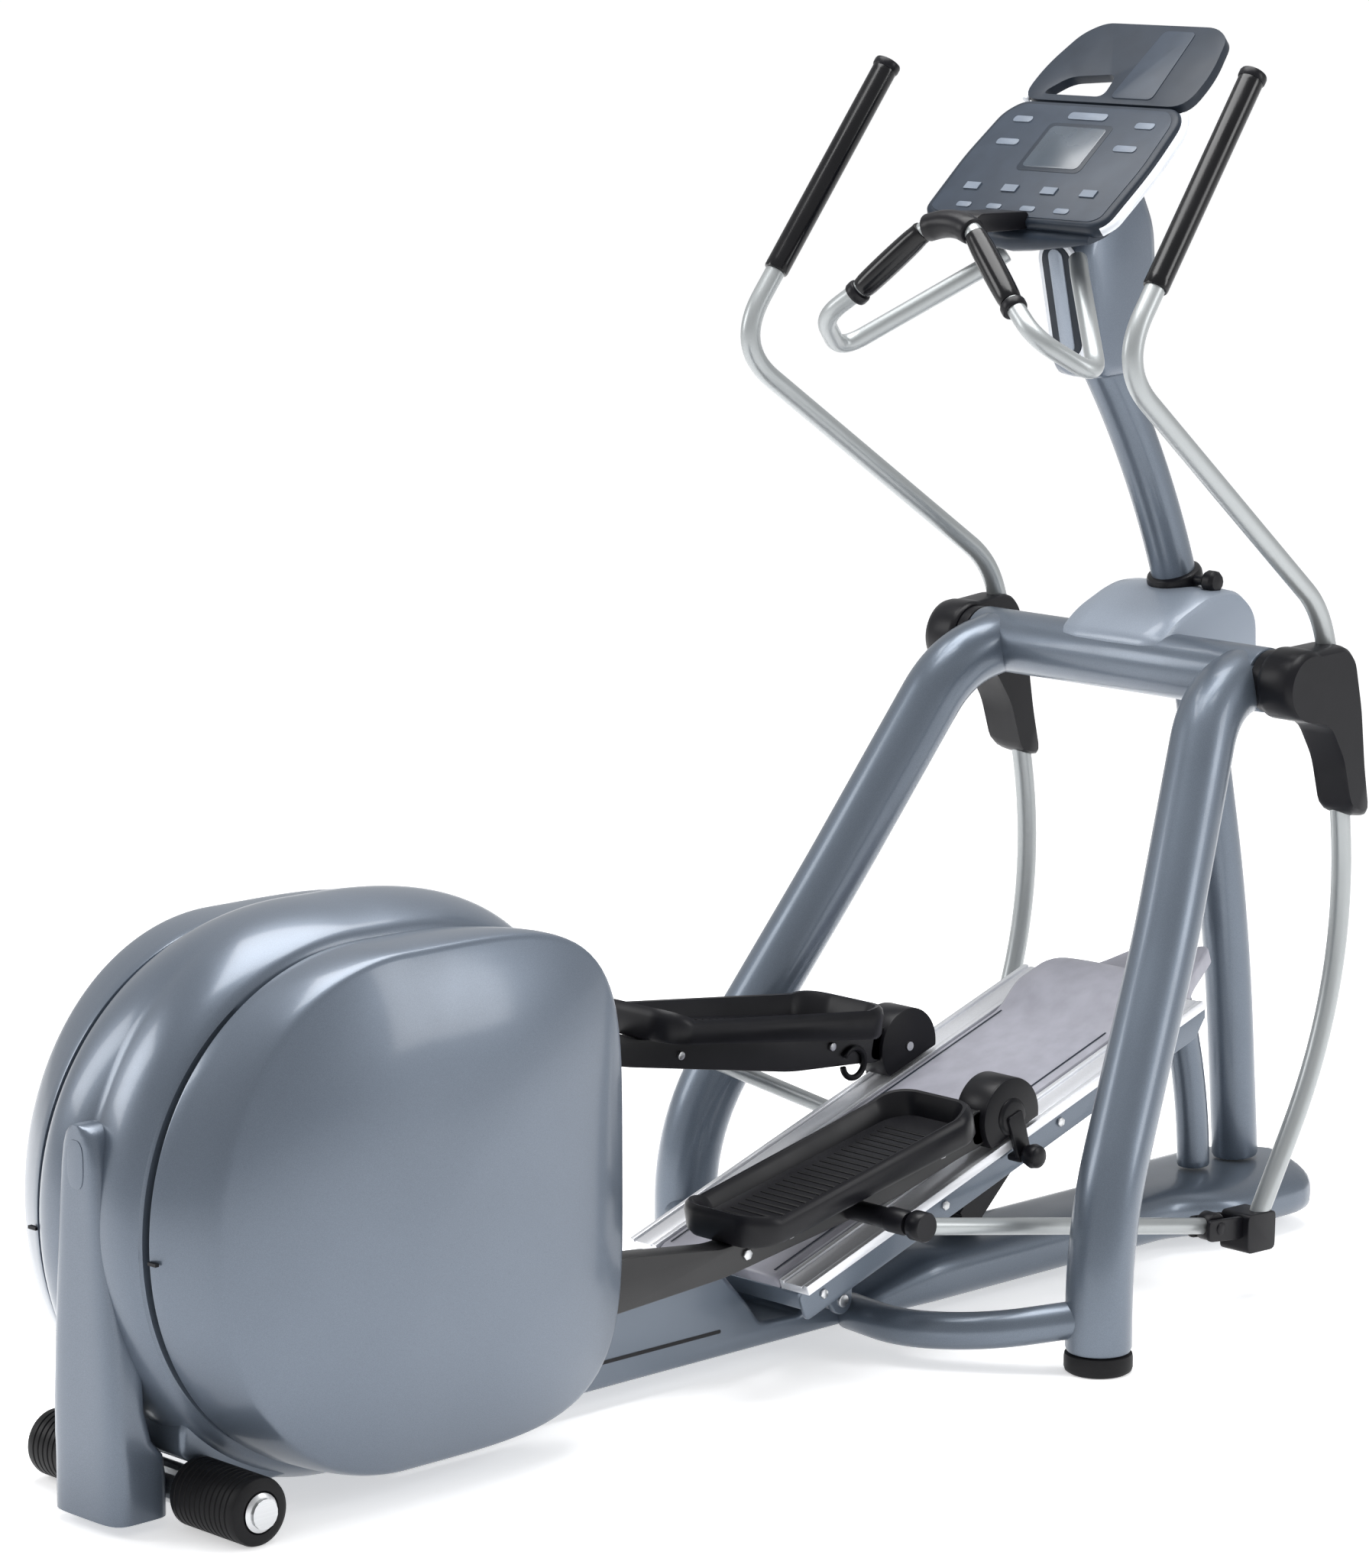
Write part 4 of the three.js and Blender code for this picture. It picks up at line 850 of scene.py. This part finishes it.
def make_arm(name, side, place):
    """Pedal arm from the crank pin to the roller, with the stub that the link turns on."""
    beam = softened([(-ARM_LENGTH - 26, 8), (-ARM_LENGTH - 26, -10), (-ARM_LENGTH, -27), (-760, -46),
                     (-540, -60), (-220, -50), (-80, -30), (-46, -28), (-46, 22), (-62, 23), (-98, 12),
                     (-534, -21), (-700, 20), (-ARM_LENGTH, 27)], 22, 5)
    cheek = softened([(-70, -26), (0, -23), (21, -8), (21, 8), (0, 23), (-70, 22)], 14, 5)
    body = slab(beam, ARM_INNER, ARM_OUTER)
    cheeks = merge(slab(cheek, ARM_INNER, ARM_INNER + 4.4), slab(cheek, ARM_OUTER - 4.4, ARM_OUTER))
    emit(f"arm_beam_{name}", mirrored(merge(body, cheeks), side), f"arm_{name}", BLACK_PAINT, place,
         bevel=3.5, stands_for=[f"pedal_arm_{name}"])
    stub = rod_y(14, 158, 262, *STUB)
    sleeve = lathe([(14, 232), (16.5, 233), (17, 236), (17, 262), (15, 268), (8, 269), (0, 269)], *STUB, 32)
    emit(f"link_stub_{name}", mirrored(merge(stub, sleeve), side), f"arm_{name}", BLACK, place)
    screws = merge(*[rod_y(6, ARM_INNER - 4.5, ARM_INNER + 0.5, u, w, 1.2, 20)
                     for u, w in ((-150, -10), (-440, -38))])
    emit(f"arm_screws_{name}", mirrored(screws, side), f"arm_{name}", STEEL, place)
    bolts = merge(*[rod_y(8, ARM_OUTER - 1, ARM_OUTER + 4, u, w, 1.5, 6)
                    for u, w in ((-130, -14), (-420, -36), (-500, -40))])
    emit(f"arm_bolts_{name}", mirrored(bolts, side), f"arm_{name}", STEEL, place, bevel=0.6)


def make_pedal(name, side, place):
    """Foot tray: raised, swelling rim all round, ribbed floor."""
    length, width = PEDAL_FRONT - PEDAL_REAR, PEDAL_OUTER - PEDAL_INNER
    loop = rounded_box(0, length, PEDAL_INNER, PEDAL_OUTER, 46, 23)
    cx, cy = length / 2, (PEDAL_INNER + PEDAL_OUTER) / 2
    wall = ((10, 0.0, 0), (3, 0.03, 0), (0, 0.16, 0), (0, 0.72, 0), (2, 0.9, 0), (6, 1.0, 0), (10, 0.97, 0),
            (14, 0.8, 0), (19, 0, 13.5), (26, 0, 12))
    rings = []
    for inset, share, floor in wall:
        ring = []
        for u, y in loop:
            rim = 35 + 11 * math.cos(2 * math.pi * (u / length) * 2.0 + 0.35)
            ring.append(((u - cx) * (1 - inset / (length / 2)) + cx,
                         (y - cy) * (1 - inset / (width / 2)) + cy, rim * share + floor))
        rings.append(ring)
    tilt = math.atan2(33, length)
    on_arm = Matrix.Translation((PEDAL_REAR, 0, -20)) @ Matrix.Rotation(-tilt, 4, "Y")
    tray = skin(rings)
    tray.transform(on_arm)
    emit(f"pedal_tray_{name}", mirrored(tray, side), f"arm_{name}", BLACK, place,
         stands_for=[f"pedal_{name}"])
    ribs = merge(*[sheet(rounded_box(u, u + 5, PEDAL_INNER + 34, PEDAL_OUTER - 34, 2.4, 3), 11.5, 13)
                   for u in range(60, length - 60, 14)])
    ribs.transform(on_arm)
    emit(f"pedal_ribs_{name}", mirrored(ribs, side), f"arm_{name}", RUBBER, place, bevel=0.6, segments=2)


# ------------------------------------------------------------------ levers and links
LEVER_PATH = [(-28, 302, -752), (152, 303, -430), (94, 307, -30), (54, 308, 100), (-416, 345, 455),
              (-342, 337, 553)]
GRIP_ENDS = (Vector((-342, 337, 553)), Vector((-136, 316, 826)))


def make_lever(name, side):
    """Swinging lever: tube, grip with its cap, cowl, and the clevis that holds the link."""
    place = tilted(LEVER_SWING * side, *LEVER_PIVOT)
    body = f"lever_{name}"
    low, high = GRIP_ENDS
    path = bent([*LEVER_PATH, low.lerp(high, 0.97)], [230, 70, 46, 84, 20], 16)
    emit(f"lever_tube_{name}", mirrored(sweep(path, LEVER_RADIUS, 28), side), body, SILVER, place,
         stands_for=[f"lever_{name}"])
    clevis = softened([(-60, -790), (-2, -790), (-2, -735), (-60, -735)], 9, 4)
    fork = softened([(LINK_PIVOT[0] - 24, -764), (-58, -770), (-58, -738), (LINK_PIVOT[0] - 24, -734)], 8, 4)
    parts = [slab(clevis, 266, 317), slab(fork, 266, 272), slab(fork, 300, 306),
             rod_y(9, 264, 308, *LINK_PIVOT, 1.5, 24)]
    emit(f"lever_clevis_{name}", mirrored(merge(*parts), side), body, BLACK, place, bevel=2.2)
    make_lever_shroud(name, side, place)
    grip = [low.lerp(high, i / 24) for i in range(25)]
    emit(f"hand_grip_{name}", mirrored(sweep(grip, GRIP_RADIUS, 36), side), body, GRIP, place,
         stands_for=[f"lever_grip_{name}"])
    cap = [high.lerp(low, 0.028), high + (high - low).normalized() * 4]
    emit(f"grip_cap_{name}", mirrored(sweep(cap, 19.2, 36), side), body, BLACK, place)


def make_lever_shroud(name, side, place):
    """Cowl round the lever's pivot, drawn out into a tail along the tube, and its sleeve on the shaft."""
    outline = softened([*arc(0, 0, 50, 75, 262, 20), (42, -58), (76, -112), (97, -186), (138, -198),
                        (124, -128), (112, -40), (94, 34), (76, 52)], 16, 3)
    cx, cz = 50, -50
    rings = []
    for y, k in ((285, 0.93), (288, 0.98), (294, 1.0), (318, 1.0), (332, 0.975), (340, 0.93), (345, 0.84)):
        rings.append([(px + (cx - px) * (1 - k) * 0.5, y, pz + (cz - pz) * (1 - k) * 0.5)
                      for px, pz in outline])
    sleeve = lathe([(16.5, 268), (41, 268), (43.4, 269.5), (44, 273), (44, 288), (16.5, 288)])
    emit(f"lever_cowl_{name}", mirrored(merge(skin(rings), sleeve), side), f"lever_{name}", BLACK, place,
         stands_for=[f"lever_shroud_{name}"])


def make_link(name, side):
    """Rod with two eyes, from the foot of the lever to the stub on the pedal arm."""
    front_x, front_z = turned(LINK_PIVOT, LEVER_PIVOT, LEVER_SWING * side)
    stub_x, stub_z = turned(STUB, roller_centre(side), arm_slope(side))
    angle = math.degrees(math.atan2(front_z - stub_z, front_x - stub_x))
    place = tilted(angle, front_x, front_z)
    bar = sweep([Vector((14 - LINK_LENGTH, LINK_Y, 0)), Vector((-14, LINK_Y, 0))], LINK_RADIUS, 28)
    eyes = [lathe([(7.6, 274), (18.5, 274), (20, 276), (20, 295), (18.5, 297), (7.6, 297)], u, 0, 40)
            for u in (0, -LINK_LENGTH)]
    emit(f"link_rod_{name}", mirrored(bar, side), f"link_{name}", SILVER, place,
         stands_for=[f"link_{name}"])
    emit(f"link_eyes_{name}", mirrored(merge(*eyes), side), f"link_{name}", BLACK, place)


# ------------------------------------------------------------------ CAD nodes that stay
def dress_cad_nodes():
    """Pieces whose CAD shape is right as it is get their material and eased edges."""
    kept = {
        "rear_axle_bar": STEEL, "drive_axle": STEEL, "drive_pulley": BLACK, "crank_left": STEEL,
        "crank_right": STEEL, "flywheel": IRON, "generator": IRON, "drive_belt": RUBBER,
        "axle_stand": IRON, "lift_motor": BLACK, "lift_screw": STEEL, "roller_axle_left": STEEL,
        "roller_axle_right": STEEL, "incline_down_key": KEY, "incline_up_key": KEY,
        "resistance_down_key": KEY, "resistance_up_key": KEY,
    }
    for node, material in kept.items():
        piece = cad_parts[node]
        piece.data.materials.clear()
        piece.data.materials.append(material)
        ease = piece.modifiers.new("eased_edges", "BEVEL")
        ease.width = 0.0006 if "key" in node else 0.0012
        ease.segments = 2
        ease.limit_method = "ANGLE"
        ease.angle_limit = SHARP_ANGLE


# ------------------------------------------------------------------ stage, light, camera
def make_stage():
    """Plain pale floor, far wider than any view of it."""
    floor = bmesh.new()
    half = 150
    corners = ((-half, -half, 0), (half, -half, 0), (half, half, 0), (-half, half, 0))
    floor.faces.new([floor.verts.new(p) for p in corners])
    mesh = bpy.data.meshes.new("floor")
    floor.to_mesh(mesh)
    floor.free()
    material, tree, bsdf = shader("studio_floor", (0.96, 0.96, 0.965), 0.9)
    vary_color(tree, bsdf, noise(tree, 3, 2), (0.955, 0.955, 0.96), (0.965, 0.965, 0.97))
    bsdf.inputs["Emission Color"].default_value = (1, 1, 1, 1)
    bsdf.inputs["Emission Strength"].default_value = 0.5
    mesh.materials.append(material)
    plane = bpy.data.objects.new("floor", mesh)
    bpy.context.scene.collection.objects.link(plane)


def area_light(name, place, target, size, power):
    """Rectangular lamp that faces its target; places in metres."""
    data = bpy.data.lights.new(name, "AREA")
    data.shape = "RECTANGLE"
    data.size, data.size_y = size
    data.energy = power
    light = bpy.data.objects.new(name, data)
    light.location = place
    light.rotation_euler = (Vector(target) - Vector(place)).to_track_quat("-Z", "Y").to_euler()
    bpy.context.scene.collection.objects.link(light)


def make_light():
    """Pale world, a broad lamp overhead and two softer ones at the sides."""
    world = bpy.data.worlds.new("studio")
    world.use_nodes = True
    background = world.node_tree.nodes["Background"]
    background.inputs["Color"].default_value = (0.985, 0.99, 1.0, 1)
    background.inputs["Strength"].default_value = 0.55
    bpy.context.scene.world = world
    area_light("overhead", (0.3, 0.3, 4.2), (0, 0, 0.4), (3.2, 2.6), 190)
    area_light("left_back", (-3.4, 3.6, 2.8), (-0.2, 0, 0.7), (1.6, 2.4), 70)
    area_light("right_front", (2.6, -4.2, 2.4), (0.2, 0, 0.7), (1.2, 2.6), 60)


def make_camera():
    """Behind the machine and to its right, a little above it; places in metres."""
    eye = MACHINE @ Vector((-4.24393, -5.11677, 2.0853))
    yaw, pitch, focal_pixels = 0.80796, 0.18162, 7231.19
    frame_height, sensor = 2052, 36
    data = bpy.data.cameras.new("camera")
    data.lens = focal_pixels / frame_height * sensor
    data.sensor_width = sensor
    data.clip_end = 400
    camera = bpy.data.objects.new("camera", data)
    camera.location = eye
    camera.rotation_euler = (math.pi / 2 - pitch, 0, yaw - math.pi / 2)
    bpy.context.scene.collection.objects.link(camera)
    bpy.context.scene.camera = camera


make_camera()
make_housing()
make_rear_post()
make_transport_rollers()
make_spine()
make_front_beam()
make_legs()
make_upper_frame()
make_saddle()
make_console()
make_rack()
make_neck()
make_handlebar()
make_ramp()
for side_name, side_sign in SIDES:
    make_stride(side_name, side_sign)
    make_lever(side_name, side_sign)
    make_link(side_name, side_sign)
dress_cad_nodes()
make_stage()
make_light()
bpy.context.scene.view_settings.view_transform = "Standard"
